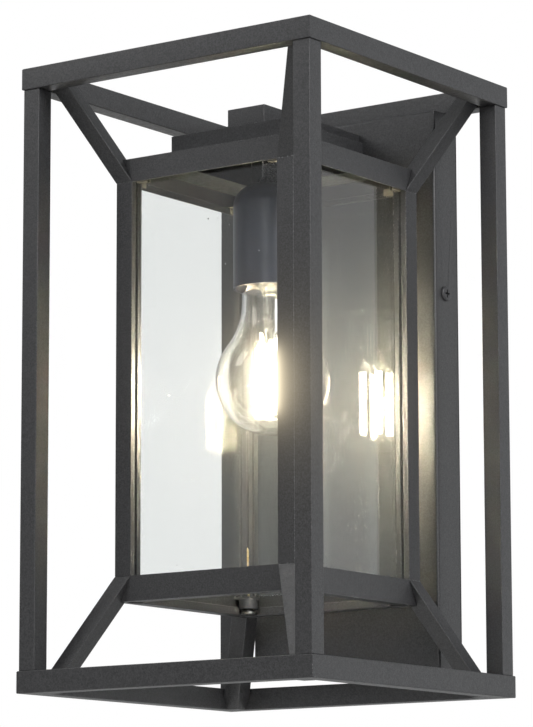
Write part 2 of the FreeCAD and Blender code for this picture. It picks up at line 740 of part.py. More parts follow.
def lamp_holder():
    """Ceramic holder, brass screw shell and sprung centre contact."""
    radius, cavity = dim("holder_radius"), dim("cavity_radius")
    low, roof, high = level("holder_low"), level("cavity_high"), level("holder_high")
    bevel = dim("holder_bevel")
    keep(on_lamp(turned("lamp_holder", [
        (cavity, low), (radius, low), (radius, high - bevel), (radius - bevel, high), (0, high),
        (0, roof), (cavity, roof),
    ])))
    shell, wall = dim("shell_radius"), dim("shell_wall")
    shell_low, shell_high = level("shell_low"), level("shell_high")
    keep(on_lamp(turned("screw_shell", [
        (shell - wall, shell_low), (shell, shell_low), (shell, shell_high),
        (shell - wall, shell_high),
    ])))
    base = level("contact_high") + dim("tongue_gap")
    thick, back = dim("tongue_thick"), -dim("tongue_back")
    across = (-dim("tongue_width") / 2, dim("tongue_width") / 2)
    foot = block("contact_foot", (back - dim("foot_length"), back + thick), across, (roof - thick, roof))
    tongue = block("contact_tongue", (back, dim("tongue_front")), across, (base, base + thick))
    riser = block("contact_riser", (back, back + thick), across, (base, roof))
    keep(on_lamp(joined("centre_contact", [foot, tongue, riser])))


def nipple_hardware():
    """The threaded nipple that hangs the lamp holder, its locknuts and star washer."""
    low, high = level("nipple_low"), level("nipple_high")
    outer = rod("nipple_skin", 0, 0, (low, high), dim("nipple_radius"))
    inner = rod("nipple_inside", 0, 0, (low - 1, high + 1), dim("nipple_bore"))
    keep(on_lamp(without("threaded_nipple", outer, [inner])))
    thick = dim("nut_thick")
    bore = dim("nipple_radius") + dim("thread_play")
    cup_top = level("cup_high") + dim("washer_thick")
    under_hood = level("tier_high") - dim("sheet") - thick
    in_arm = level("tier_high") + dim("tube_wall")
    under_cup = level("cup_high") - dim("cup_wall") - thick
    nuts = []
    for tag, base in (("cup", cup_top), ("holder", under_cup), ("hood", under_hood), ("arm", in_arm)):
        hexagon = doc.addObject("Part::Prism", f"{tag}_nut_hexagon")
        hexagon.Polygon = 6
        bind(hexagon, "Circumradius", dim("nut_flat") * (2 / math.sqrt(3)))
        bind(hexagon, "Height", thick)
        place(hexagon, 0, 0, base)
        hole = rod(f"{tag}_nut_hole", 0, 0, (base - 1, base + thick + 1), bore)
        nuts.append(without(f"{tag}_nut", hexagon, [hole]))
    keep(on_lamp(group("nipple_locknuts", nuts)))
    star_washer(level("cup_high"), cup_top, bore)


def star_washer(low, high, bore):
    """The toothed washer between the cup and its nut."""
    disc = rod("washer_disc", 0, 0, (low, high), dim("washer_radius") - dim("tooth_reach"))
    half = dim("tooth_width") / 2
    teeth = []
    for number in range(WASHER_TEETH):
        turn = 360 / WASHER_TEETH * number
        angle = math.radians(turn)
        tooth = block(f"washer_tooth_{number}", (0, dim("washer_radius")), (0, half * 2), (low, high))
        tooth.Placement = Placement(Vector(), Rotation(Vector(0, 0, 1), turn))
        place(tooth, half * math.sin(angle), -half * math.cos(angle), low)
        teeth.append(tooth)
    hole = rod("washer_hole", 0, 0, (low - 1, high + 1), bore)
    keep(on_lamp(without("star_washer", joined("washer_star", [disc, *teeth]), [hole])))


# ---- bulb --------------------------------------------------------------------------------

def bulb_outline(shrink):
    """The bulb's outline from its lowest point up to the neck, drawn in by a wall or by nothing."""
    ball, neck = dim("bulb_radius"), dim("neck_radius")
    centre, neck_low = level("bulb_centre"), level("neck_low")
    rise = neck_low - centre
    throat = (rise * rise + neck * neck - ball * ball) / ((ball - neck) * 2)
    share = (ball - shrink) / (ball + throat)
    meeting = ((neck + throat) * share, centre + rise * share)
    return [
        (size(0), centre - ball + shrink, ball - shrink, 1),
        (*meeting, throat + shrink, -1),
        (neck - shrink, neck_low),
        (neck - shrink, level("neck_high")),
    ]


def reversed_outline(corners):
    """The same outline walked the other way, with each arc kept between its own two corners."""
    back = []
    for index in range(len(corners) - 1, -1, -1):
        arc = corners[index - 1][2:] if index else ()
        spot = corners[index][:2]
        back.append((*spot, arc[0], -arc[1]) if arc else spot)
    return back


def bulb():
    """A clear bulb: glass, screw cap, insulated tip contact, stem and filament sticks."""
    wall = dim("glass_wall")
    cap = dim("cap_radius") - dim("cap_wall") - dim("cap_play")
    cap_low = level("cap_low") + 1
    outside = bulb_outline(size(0))
    inside = reversed_outline(bulb_outline(wall))
    keep(on_lamp(turned("bulb_glass", [
        *outside, (cap, level("cap_low")), (cap, cap_low),
        (cap - wall, cap_low), (cap - wall, level("cap_low")), *inside,
    ])))
    bulb_cap()
    bulb_contact()
    bulb_stem(cap_low)
    bulb_filaments()


def bulb_cap():
    """The cap's sheet with its rolled thread shown as five rings, and its dished end."""
    crest, wall, depth = dim("cap_radius"), dim("cap_wall"), dim("thread_depth")
    low, high = level("cap_low"), level("cap_high")
    ring, lip, pitch = dim("glass_ring_radius"), dim("cap_lip"), dim("thread_pitch")
    root = crest - depth
    outer = [(crest, low), (crest, low + lip)]
    for turn in range(CAP_RINGS):
        base = low + lip + pitch * turn
        outer.append((root, base + pitch * 0.35))
        outer.append((crest, base + pitch * 0.85))
    outer.append((root, high - lip))
    inner = [(root - depth - wall, high - lip - wall), (root - wall, high - lip - wall * 2),
             (root - wall, low + lip + wall), (crest - wall, low + lip), (crest - wall, low)]
    keep(on_lamp(turned("bulb_cap", [*outer, (ring, high + 1), (ring, high + 1 - wall), *inner])))


def bulb_contact():
    """The tip contact in its insulating ring."""
    tip, ring = dim("contact_radius"), dim("glass_ring_radius") - dim("ring_play")
    top, dome = level("contact_high"), dim("contact_dome")
    seat = level("cap_high") + 1 - dim("cap_wall")
    keep(on_lamp(turned("bulb_contact", [
        (0, seat), (ring, seat), (ring, seat + dim("cap_wall") * 1.5), (tip, top - dome),
        (tip - dome, top - dome / 4), (0, top),
    ])))


def bulb_stem(seat):
    """The flared stem, seated on the neck's end."""
    flare, tube, rim = dim("stem_flare"), dim("stem_radius"), dim("stem_rim")
    low, rise, thick = level("stem_low"), dim("flare_rise"), dim("rim_thick")
    widen = flare - tube
    bend = (widen * widen + rise * rise) / (widen * 2)
    keep(on_lamp(turned("bulb_stem", [
        (0, low), (tube * dim("stem_tip"), low), (tube, low + dim("stem_taper")),
        (tube, seat - rise, bend, -1), (flare, seat), (rim, seat), (rim, seat + thick), (0, seat + thick),
    ])))


def bulb_filaments():
    """Four upright filament sticks on wires that meet in a bead above and a bead below."""
    ring, wire, bead = dim("filament_ring"), dim("wire_radius"), dim("hub_radius")
    high, low = level("filament_high"), level("filament_high") - dim("filament_length")
    gap, tall = dim("hub_gap"), dim("hub_height")
    pieces = [
        rod("filament_mast", 0, 0, (high + gap + tall / 2, level("stem_low")), dim("mast_radius")),
        rod("filament_top_bead", 0, 0, (high + gap, high + gap + tall), bead),
        rod("filament_low_bead", 0, 0, (low - gap - tall, low - gap), bead),
    ]
    for number in range(FILAMENTS):
        angle = math.radians(45 + 360 / FILAMENTS * number)
        spot = (ring * math.cos(angle), ring * math.sin(angle))
        inward = (-math.cos(angle), -math.sin(angle), 0)
        pieces.append(rod(f"filament_{number}", *spot, (low, high), dim("filament_radius")))
        for tag, end, sign in (("top", high, 1), ("low", low, -1)):
            link_at = end + (gap + tall / 2) * sign
            far = link_at + wire * 2 * sign
            drop = (end - wire, far) if sign > 0 else (far, end + wire)
            pieces.append(rod(f"filament_{tag}_wire_{number}", *spot, drop, wire))
            pieces.append(cross_rod(f"filament_{tag}_link_{number}", (*spot, link_at), ring - wire * 2,
                                    wire, inward))
    keep(on_lamp(joined("bulb_filaments", pieces)))


# ---- wall box ----------------------------------------------------------------------------

def wall_box():
    """The open-backed sheet box that covers the outlet, drilled for arm leads and side screws."""
    half, wall, bend = dim("box_half"), dim("box_wall"), dim("box_corner")
    front, back = -dim("box_depth"), -dim("gasket_thick")
    low, high = level("box_low"), level("box_high")
    skin = block("box_skin", (-half, half), (front, back), (low, high))
    rounded = doc.addObject("Part::Fillet", "box_rounded")
    rounded.Base = skin
    doc.recompute()
    edges = []
    for number, edge in enumerate(skin.Shape.Edges, start=1):
        middle = edge.CenterOfMass
        if abs(middle.y - front.value) < 0.01:
            edges.append((number, bend.value, bend.value))
    rounded.Edges = edges
    inside = block("box_inside", (wall - half, half - wall), (front + wall, back + 1),
                   (low + wall, high - wall))
    hole_z = (level("tier_high") + level("arm_high")) / 2
    lead_hole = cross_rod("box_lead_hole", (0, front - 1, hole_z), wall + 2, dim("bushing_hole"), (0, 1, 0))
    screw_hole = cross_rod("box_screw_hole", (-half - 1, -dim("side_screw_out"), 0), half * 2 + 2,
                           dim("side_shank") + dim("side_hole_play"), (1, 0, 0))
    keep(without("wall_box", rounded, [inside, lead_hole, screw_hole]))


def wall_gasket():
    """A foam strip between the wall box and the wall."""
    half, width, play = dim("box_half") - dim("gasket_play"), dim("gasket_width"), dim("ear_play")
    low, high = level("box_low") + dim("gasket_play"), level("box_high") - dim("gasket_play")
    through = (-dim("gasket_thick") - 1, 1)
    skin = block("gasket_skin", (-half, half), (-dim("gasket_thick"), 0), (low, high))
    hole = block("gasket_hole", (width - half, half - width), through, (low + width, high - width))
    ears = block("gasket_ears", (-dim("bracket_half") - play, dim("bracket_half") + play), through,
                 (-dim("bracket_rise") - play, dim("bracket_rise") + play))
    keep(without("wall_gasket", skin, [hole, ears]))


def bracket_slot(tag, middle):
    """One slot of the bracket, along X."""
    radius, steel = dim("slot_radius"), dim("bracket_wall")
    reach = dim("slot_length") / 2 - radius
    ends = [cross_rod(f"{tag}_slot_{end}", (middle + reach * sign, -steel - 1, 0), steel + 2, radius,
                      (0, 1, 0))
            for end, sign in (("low", -1), ("high", 1))]
    bar = block(f"{tag}_slot_bar", (middle - reach, middle + reach), (-steel - 1, 1), (-radius, radius))
    return [*ends, bar]


def mounting_bracket():
    """The steel bracket that screws to the junction box; its ears take the side screws."""
    half, rise, steel = dim("bracket_half"), dim("bracket_rise"), dim("bracket_wall")
    depth, ear = -dim("ear_depth"), dim("ear_rise")
    plate = block("bracket_plate", (-half, half), (-steel, 0), (-rise, rise))
    left = block("bracket_left_ear", (-half, steel - half), (depth, 0), (-ear, ear))
    right = block("bracket_right_ear", (half - steel, half), (depth, 0), (-ear, ear))
    spread = dim("slot_spacing") / 2
    tools = [*bracket_slot("left", -spread), *bracket_slot("right", spread)]
    front, through, play = -steel - 1, steel + 2, dim("thread_play")
    tools.append(cross_rod("bracket_entry", (0, front, 0), through, dim("entry_radius"), (0, 1, 0)))
    tools.append(cross_rod("bracket_tap", (-half - 1, -dim("side_screw_out"), 0), half * 2 + 2,
                           dim("side_shank") + play, (1, 0, 0)))
    tools.append(cross_rod("bracket_ground_tap", (-dim("ground_side"), front, dim("ground_rise")),
                           through, dim("ground_radius") + play, (0, 1, 0)))
    keep(without("mounting_bracket", joined("bracket_blank", [plate, left, right]), tools))


def side_screws():
    """Two cross-recessed pan head screws that hold the wall box to the bracket."""
    half, out = dim("box_half"), -dim("side_screw_out")
    head, thick = dim("side_head"), dim("side_head_thick")
    width, length = dim("cross_width") / 2, dim("cross_length") / 2
    crown_radius = dim("side_crown").value
    screws = []
    for tag, sign in (("left", -1), ("right", 1)):
        face = half * sign
        shank = cross_rod(f"{tag}_screw_shank", (face, out, 0), dim("side_length"), dim("side_shank"),
                          (-sign, 0, 0))
        drum = cross_rod(f"{tag}_screw_drum", (face, out, 0), thick, head, (sign, 0, 0))
        crown = doc.addObject("Part::Fillet", f"{tag}_screw_crown")
        crown.Base = drum
        doc.recompute()
        rim = [number for number, edge in enumerate(drum.Shape.Edges, start=1)
               if abs(edge.CenterOfMass.x - (face + thick * sign).value) < 0.01]
        crown.Edges = [(number, crown_radius, crown_radius) for number in rim]
        top = face + thick * sign
        deep = top - dim("cross_depth") * sign
        span = (deep, top + 1) if sign > 0 else (top - 1, deep)
        cuts = [block(f"{tag}_cross_flat", span, (out - length, out + length), (-width, width)),
                block(f"{tag}_cross_tall", span, (out - width, out + width), (-length, length))]
        screws.append(without(f"{tag}_side_screw", joined(f"{tag}_screw_blank", [shank, crown]), cuts))
    keep(group("side_screws", screws))


def ground_screw():
    """The hexagonal washer-head ground screw on the bracket's plate."""
    thick = dim("collar_thick")
    start = (-dim("ground_side"), -dim("bracket_wall") - thick, dim("ground_rise"))
    shank = cross_rod("ground_shank", start, thick + dim("ground_shank"), dim("ground_radius"), (0, 1, 0))
    collar = cross_rod("ground_collar", start, thick, dim("collar_radius"), (0, 1, 0))
    hexagon = doc.addObject("Part::Prism", "ground_hexagon")
    hexagon.Polygon = 6
    bind(hexagon, "Circumradius", dim("ground_hex"))
    bind(hexagon, "Height", dim("ground_head"))
    hexagon.Placement = Placement(Vector(), Rotation(Vector(1, 0, 0), 90))
    place(hexagon, *start)
    keep(joined("ground_screw", [shank, collar, hexagon]))


# ---- wiring ------------------------------------------------------------------------------

def route(points):
    """Straight runs through the points, joined by the largest tangent arcs that fit."""
    edges, radii = [], []
    here = points[0]
    for before, corner, after in zip(points, points[1:], points[2:]):
        into, away = corner - before, after - corner
        turn = into.getAngle(away)
        shorter = min(into.Length, away.Length)
        trim = 0.45 * shorter
        begin = corner - into.normalize() * trim
        finish = corner + away.normalize() * trim
        radius = trim / math.tan(turn / 2)
        radii.append(radius)
        bisector = ((begin + finish) / 2 - corner).normalize()
        centre = corner + bisector * (radius / math.cos(turn / 2))
        middle = centre - bisector * radius
        edges.append(Part.LineSegment(here, begin).toShape())
        edges.append(Part.Arc(begin, middle, finish).toShape())
        here = finish
    edges.append(Part.LineSegment(here, points[-1]).toShape())
    return Part.Wire(edges), radii


def lead(name, points, radius):
    """A round lead along a route; the shape is swept in code because its path bends in space."""
    spots = [Vector(*[size(amount).value for amount in point]) for point in points]
    path, radii = route(spots)
    print(f"{name}: bends of {', '.join(f'{bend:.1f}' for bend in radii)} mm")
    section = Part.Wire(Part.Circle(spots[0], spots[1] - spots[0], radius.value).toShape())
    made = doc.addObject("Part::Feature", name)
    made.Shape = path.makePipeShell([section], True, False)
    made.Placement = Placement()
    return keep(made)


def wiring():
    """Two leads from the holder through nipple, arm and wall box to their wire connectors."""
    out, spread = -dim("lamp_out"), dim("lead_spread")
    run, low = level("arm_lead_high"), level("lead_low")
    mouth, back = level("nut_top"), -dim("connector_out")
    front = -dim("box_depth")
    exit_high = (level("tier_high") + level("arm_high")) / 2
    radius = dim("lead_radius")
    for name, sign in (("live_lead", -1), ("neutral_lead", 1)):
        near = spread * sign * 0.6
        side = spread * sign
        wide = dim("connector_spread") * sign
        lead(name, [
            (near, out, low),
            (near, out, run),
            (side, out + 14, run),
            (side, front - 30, run - 2.5),
            (side, front - 8, exit_high),
            (side * 1.2, back, exit_high - 1),
            (wide, back, mouth + 14),
            (wide, back, mouth - 3),
        ], radius)
    ground_lead(radius * dim("earth_share"), back)
    connectors = []
    for tag, sign in (("live", -1), ("neutral", 1)):
        spot = (dim("connector_spread") * sign, back)
        body = cone(f"{tag}_connector_body", *spot, (mouth - dim("connector_length"), mouth),
                    dim("connector_narrow"), dim("connector_wide"))
        hole = rod(f"{tag}_connector_hole", *spot, (mouth - dim("connector_depth"), mouth + 1),
                   radius + dim("bushing_play"))
        connectors.append(without(f"{tag}_connector", body, [hole]))
    keep(group("wire_connectors", connectors))
    lead_bushing(exit_high)


def ground_lead(radius, back):
    """The bare lead from the wall box's front sheet down to the ground screw's collar."""
    along, inside = -dim("ground_side"), dim("box_wall") - dim("box_depth")
    on_plate = -dim("bracket_wall") - radius - dim("touch_gap")
    collar_top = dim("ground_rise") + dim("collar_radius")
    lead("ground_lead", [
        (along, inside, collar_top + 36),
        (along, inside + 6, collar_top + 36),
        (along, back, collar_top + 22),
        (along, on_plate, collar_top + 12),
        (along, on_plate, collar_top + dim("touch_gap")),
    ], radius)


def lead_bushing(middle):
    """A plastic bushing in the wall box's front where the leads come out of the arm."""
    front, inside = -dim("box_depth"), dim("box_wall") - dim("box_depth")
    barrel_radius = dim("bushing_hole") - dim("bushing_play")
    along = (0, 1, 0)
    barrel = cross_rod("bushing_barrel", (0, front, middle), dim("box_wall") + dim("bushing_nose"),
                       barrel_radius, along)
    flange = cross_rod("bushing_flange", (0, inside, middle), dim("bushing_thick"),
                       dim("bushing_flange"), along)
    bore = cross_rod("bushing_bore", (0, front - 1, middle), dim("bushing_flange"),
                     barrel_radius - dim("bushing_wall"), along)
    keep(without("lead_bushing", joined("bushing_blank", [barrel, flange]), [bore]))


# ---- assembly and export -----------------------------------------------------------------

def build():
    """Every sub-part of the lantern."""
    fill_sheet()
    for quarter in range(4):
        cage_rail("top", level("cage_height") - dim("rail_height"), quarter)
        cage_rail("bottom", -dim("outlet_height"), quarter)
        cage_post(quarter)
        strut("top", quarter)
        strut("bottom", quarter)
        lantern_post(quarter)
        pane(quarter)
    hood()
    tray()
    glass_clips()
    corner_hardware()
    hanging_arm()
    socket_cup()
    lamp_holder()
    nipple_hardware()
    bulb()
    wall_box()
    wall_gasket()
    mounting_bracket()
    side_screws()
    ground_screw()
    wiring()
    doc.recompute()


def check():
    """Stop if anything failed to build."""
    for item in doc.Objects:
        if "Invalid" in item.State or "Error" in item.State:
            raise RuntimeError(f"{item.Label} failed: {item.State}")
    for item in PARTS:
        if item.Shape.isNull() or not item.Shape.isValid():
            raise RuntimeError(f"{item.Label} has no valid shape")


def export():
    """One STEP file for each sub-part."""
    os.makedirs("parts", exist_ok=True)
    for item in PARTS:
        item.Shape.exportStep(f"parts/{item.Label}.step")
    print(f"{len(PARTS)} sub-parts written")


build()
check()
export()
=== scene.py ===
"""Looks of the outdoor wall lantern: materials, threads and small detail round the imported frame.

Everything is in metres in the part's own frame: the wall is the plane y = 0, +Z is up, and the
lantern stands out along -Y. Sizes are written in millimetres and turned into metres by MM.
"""

import json
import math

import bmesh
import bpy
from mathutils import Matrix, Vector


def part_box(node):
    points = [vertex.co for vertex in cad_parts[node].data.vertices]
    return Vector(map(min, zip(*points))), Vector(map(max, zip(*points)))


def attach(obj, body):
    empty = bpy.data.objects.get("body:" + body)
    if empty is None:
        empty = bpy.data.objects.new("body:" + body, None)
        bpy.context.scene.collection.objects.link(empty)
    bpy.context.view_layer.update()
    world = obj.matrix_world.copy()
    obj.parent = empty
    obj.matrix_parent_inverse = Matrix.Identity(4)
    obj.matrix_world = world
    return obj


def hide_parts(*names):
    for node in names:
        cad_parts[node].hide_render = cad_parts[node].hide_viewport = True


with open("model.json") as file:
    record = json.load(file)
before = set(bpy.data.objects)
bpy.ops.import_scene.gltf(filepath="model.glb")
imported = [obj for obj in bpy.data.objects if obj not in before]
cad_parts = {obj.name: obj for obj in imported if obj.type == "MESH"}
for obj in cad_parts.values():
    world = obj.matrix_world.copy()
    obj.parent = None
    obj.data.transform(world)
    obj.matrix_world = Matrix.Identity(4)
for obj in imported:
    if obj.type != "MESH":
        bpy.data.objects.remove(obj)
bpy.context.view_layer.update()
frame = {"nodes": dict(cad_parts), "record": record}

MM = 0.001
NODES = frame["nodes"]
SLOT_OF = {part["node"]: part["material_slot"] for part in frame["record"]["subparts"]}
FULL_TURN = 2 * math.pi


# ---- sizes and settings ----------------------------------------------------------------------

# The lamp's upright axis, from the bulb's own box.
bulb_low, bulb_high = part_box("bulb_glass")
LAMP_X = (bulb_low.x + bulb_high.x) / 2
LAMP_Y = (bulb_low.y + bulb_high.y) / 2
LAMP_SPOT = (LAMP_X, LAMP_Y)
LAMP_STRENGTH = 570.0
LAMP_COLOUR = (1.0, 0.875, 0.64)

# The corner screws: a lower one's flared head, and the shank and thread that both kinds share.
HEAD_RADIUS = 4.6 * MM
HEAD_HEIGHT = 3.2 * MM
HEAD_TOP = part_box("tray_screws")[0].z + HEAD_HEIGHT
SCREW_RADIUS = 1.3 * MM
SCREW_PITCH = 1.5 * MM
SCREW_CUT = 0.38 * MM

# The bulb's rolled thread, and the solder in the middle of its tip.
CAP_PITCH = 3.63 * MM
SOLDER_RADIUS = 5.4 * MM

FILAMENTS = 4
FILAMENT_RING = 7.5 * MM
FILAMENT_LENGTH = 36.5 * MM
FILAMENT_RADIUS = 1.0 * MM

# Widths of the rounded edges, in millimetres.
RAIL_EDGE, BAR_EDGE, PANE_EDGE = 0.45, 0.4, 0.3
SOFT_EDGES = {
    "hood": 0.35, "tray": 0.35, "hanging_arm": 0.5, "wall_box": 0.3, "mounting_bracket": 0.3,
    "tray_spacers": 0.25, "glass_clips": 0.2, "nipple_locknuts": 0.25, "star_washer": 0.12,
    "ground_screw": 0.2, "side_screws": 0.12, "wall_gasket": 0.3, "lamp_holder": 0.4,
    "centre_contact": 0.12, "lead_bushing": 0.2,
}

FLOOR_Z = -0.8
# Brings the floor, as the camera sees it, up to the pale tone of the paper behind.
FLOOR_LIFT = 0.4

# How bright the room is towards each side, against its middle.
ROOM_LEFT, ROOM_RIGHT, ROOM_TOP, ROOM_BACK = 0.46, 0.88, 0.36, 1.3

# Name, place, aim, width and height in metres, power in watts, colour.
LIGHTS = [
    ("right_softbox", (1.9, -0.9, 1.3), (0, -0.095, 0.1), (1.3, 1.3), 46, (1, 1, 1)),
    ("left_softbox", (-1.5, -1.6, 1.4), (0, -0.095, 0), (1.2, 1.2), 11, (1, 1, 1)),
    ("front_softbox", (0.6, -2.0, 0.6), (0, -0.095, 0), (0.5, 1.3), 4, (1, 1, 1)),
    ("floor_bounce", (0.3, -0.9, -0.75), (0, -0.095, -0.1), (1.2, 1.2), 2.5, (1.0, 0.93, 0.82)),
]

CAMERA_PLACE = (1.06699, -1.57748, -0.34774)
CAMERA_YAW = math.radians(35.770)
CAMERA_PITCH = math.radians(9.454)
CAMERA_ROLL = math.radians(-0.143)
CAMERA_LENS = 169.97

# Light paths long enough for six sheets of glass, and a clamp that leaves the lit sticks their glare.
BOUNCES = 16
LIT_CLAMP = 150.0


# ---- node trees ----------------------------------------------------------------------------

def add(tree, kind, inputs=None, **settings):
    """A node with its settings, and its inputs set to a value or fed by a socket."""
    made = tree.nodes.new(kind)
    for name, value in settings.items():
        setattr(made, name, value)
    for name, value in (inputs or {}).items():
        if isinstance(value, bpy.types.NodeSocket):
            tree.links.new(value, made.inputs[name])
        else:
            made.inputs[name].default_value = value
    return made


def place_of(tree):
    """The point's place in the part's own frame."""
    return add(tree, "ShaderNodeTexCoord").outputs["Object"]


def noise(tree, size, detail=2.0, stretch=(1, 1, 1), roughness=0.5):
    """A grey pattern whose grains are about this many metres across."""
    moved = add(tree, "ShaderNodeVectorMath", {0: place_of(tree), 1: stretch}, operation="MULTIPLY")
    made = add(tree, "ShaderNodeTexNoise", {
        "Vector": moved.outputs[0], "Scale": 1 / size, "Detail": detail, "Roughness": roughness})
    return made.outputs["Fac"]


def math_node(tree, operation, first, second=0.0, clamp=False):
    """One arithmetic step."""
    return add(tree, "ShaderNodeMath", {0: first, 1: second}, operation=operation,
               use_clamp=clamp).outputs[0]


def between(tree, source, low, high, to_low=0.0, to_high=1.0):
    """The source's stretch from low to high, mapped to another stretch."""
    return add(tree, "ShaderNodeMapRange", {
        "Value": source, "From Min": low, "From Max": high, "To Min": to_low, "To Max": to_high,
    }).outputs["Result"]


def blended(tree, factor, first, second):
    """A colour between two, each a colour or a socket."""
    made = add(tree, "ShaderNodeMix", data_type="RGBA")
    for socket, value in ((made.inputs[0], factor), (made.inputs[6], first), (made.inputs[7], second)):
        if isinstance(value, bpy.types.NodeSocket):
            tree.links.new(value, socket)
        else:
            socket.default_value = value
    return made.outputs[2]


def bumped(tree, height, depth, strength):
    """A normal pressed in by a height pattern, depth in metres."""
    return add(tree, "ShaderNodeBump", {
        "Height": height, "Distance": depth, "Strength": strength}).outputs["Normal"]


def rgb(red, green, blue):
    """An opaque colour."""
    return (red, green, blue, 1.0)


def new_look(name, **fixed):
    """An empty material with one Principled shader whose plain sockets are set by name."""
    made = bpy.data.materials.new(name)
    made.use_nodes = True
    tree = made.node_tree
    tree.nodes.clear()
    shader = add(tree, "ShaderNodeBsdfPrincipled")
    for key, value in fixed.items():
        shader.inputs[key.replace("_", " ").title().replace("Ior", "IOR")].default_value = value
    out = add(tree, "ShaderNodeOutputMaterial")
    tree.links.new(shader.outputs[0], out.inputs["Surface"])
    return made, tree, shader


def feed(tree, shader, **sockets):
    """Link sockets to a shader's inputs by name."""
    for key, socket in sockets.items():
        tree.links.new(socket, shader.inputs[key.replace("_", " ").title()])


# ---- materials -----------------------------------------------------------------------------

def edges_of(tree, radius):
    """0 on flat faces and 1 on edges, within a radius in metres."""
    rounded = add(tree, "ShaderNodeBevel", {"Radius": radius}, samples=6).outputs[0]
    flat = add(tree, "ShaderNodeNewGeometry").outputs["Normal"]
    along = add(tree, "ShaderNodeVectorMath", {0: rounded, 1: flat}, operation="DOT_PRODUCT")
    return between(tree, along.outputs["Value"], 0.995, 0.9)


def powder_coat():
    """Fine sand-textured charcoal powder coat, with a painted highlight in pale specks along its edges.
    """
    look, tree, shader = new_look("charcoal_powder", specular_ior_level=0.7)
    sand = noise(tree, 0.8 * MM, detail=3.0, roughness=0.7)
    lumps = noise(tree, 2.2 * MM, detail=2.0)
    clouds = noise(tree, 45 * MM, detail=3.0)
    dark, pale = rgb(0.006, 0.006, 0.0068), rgb(0.038, 0.038, 0.0405)
    coat = blended(tree, between(tree, sand, 0.38, 0.64), dark, pale)
    coat = blended(tree, between(tree, clouds, 0.35, 0.7, 0.0, 0.3), coat, rgb(0.031, 0.031, 0.032))
    # Painted highlight: pale specks along the edges, in patches, stand in for light caught on the
    # edges.
    specks = math_node(tree, "MULTIPLY", edges_of(tree, 0.5 * MM),
                       between(tree, noise(tree, 1.3 * MM, detail=4.0), 0.52, 0.6), clamp=True)
    painted_edge_highlight = math_node(tree, "MULTIPLY", specks,
                       between(tree, noise(tree, 60 * MM), 0.42, 0.56), clamp=True)
    coat = blended(tree, painted_edge_highlight, coat, rgb(0.22, 0.22, 0.225))
    grain = math_node(tree, "ADD", math_node(tree, "MULTIPLY", sand, 0.6),
                      math_node(tree, "MULTIPLY", lumps, 0.5))
    feed(tree, shader, base_color=coat, roughness=between(tree, lumps, 0.3, 0.7, 0.32, 0.46),
         normal=bumped(tree, grain, 0.16 * MM, 0.8))
    return look


def enamel():
    """Smooth satin blue-black enamel of the socket cup, with a faint orange peel."""
    look, tree, shader = new_look("blue_black_enamel", specular_ior_level=0.55)
    peel = noise(tree, 1.6 * MM, detail=2.0)
    tone = blended(tree, noise(tree, 14 * MM), rgb(0.010, 0.012, 0.022), rgb(0.015, 0.018, 0.033))
    feed(tree, shader, base_color=tone, roughness=between(tree, peel, 0.3, 0.7, 0.28, 0.34),
         normal=bumped(tree, peel, 0.006 * MM, 0.3))
    return look


def clear_to_lamps(look, tree, shader, tint):
    """Let light from lamps straight through a glass shader."""
    open_side = add(tree, "ShaderNodeBsdfTransparent", {"Color": tint})
    path = add(tree, "ShaderNodeLightPath")
    mixed = add(tree, "ShaderNodeMixShader", {
        0: path.outputs["Is Shadow Ray"], 1: shader.outputs[0], 2: open_side.outputs[0]})
    out = next(item for item in tree.nodes if item.type == "OUTPUT_MATERIAL")
    tree.links.new(mixed.outputs[0], out.inputs["Surface"])
    return look


def pane_glass():
    """Clear float glass with the odd seed in it and a trace of dust."""
    look, tree, shader = new_look("clear_glass", transmission_weight=1.0, ior=1.5)
    seeds = add(tree, "ShaderNodeTexVoronoi", {"Vector": place_of(tree), "Scale": 1 / (11 * MM)})
    dots = between(tree, seeds.outputs["Distance"], 0.045, 0.02)
    few = between(tree, noise(tree, 30 * MM), 0.52, 0.56)
    height = math_node(tree, "MULTIPLY", dots, few)
    dust = between(tree, noise(tree, 25 * MM, detail=5.0), 0.45, 0.8, 0.0, 0.035)
    tint = blended(tree, noise(tree, 60 * MM), rgb(0.95, 0.967, 0.958), rgb(0.963, 0.976, 0.97))
    feed(tree, shader, base_color=tint, roughness=dust, normal=bumped(tree, height, 0.25 * MM, 0.7))
    return clear_to_lamps(look, tree, shader, rgb(0.93, 0.95, 0.94))


def bulb_glass():
    """Thin blown glass, very slightly uneven, with faint smears inside."""
    look, tree, shader = new_look("bulb_clear_glass", transmission_weight=1.0, ior=1.47)
    waves = noise(tree, 16 * MM, detail=1.0)
    tint = blended(tree, waves, rgb(0.98, 0.985, 0.98), rgb(1.0, 1.0, 1.0))
    smears = between(tree, noise(tree, 9 * MM, detail=5.0, stretch=(1, 1, 0.35)), 0.35, 0.7, 0.03, 0.13)
    feed(tree, shader, base_color=tint, roughness=smears, normal=bumped(tree, waves, 0.3 * MM, 0.5))
    return clear_to_lamps(look, tree, shader, rgb(0.97, 0.97, 0.97))


def metal(name, dark, pale, rough, patch=6.0):
    """A metal with colour patches, roughness variation and fine scratches."""
    look, tree, shader = new_look(name, metallic=1.0)
    tone = blended(tree, between(tree, noise(tree, patch * MM, detail=3.0), 0.35, 0.65), dark, pale)
    fine = noise(tree, 0.5 * MM, detail=3.0)
    feed(tree, shader, base_color=tone, roughness=between(tree, fine, 0.3, 0.7, *rough),
         normal=bumped(tree, fine, 0.02 * MM, 0.6))
    return look


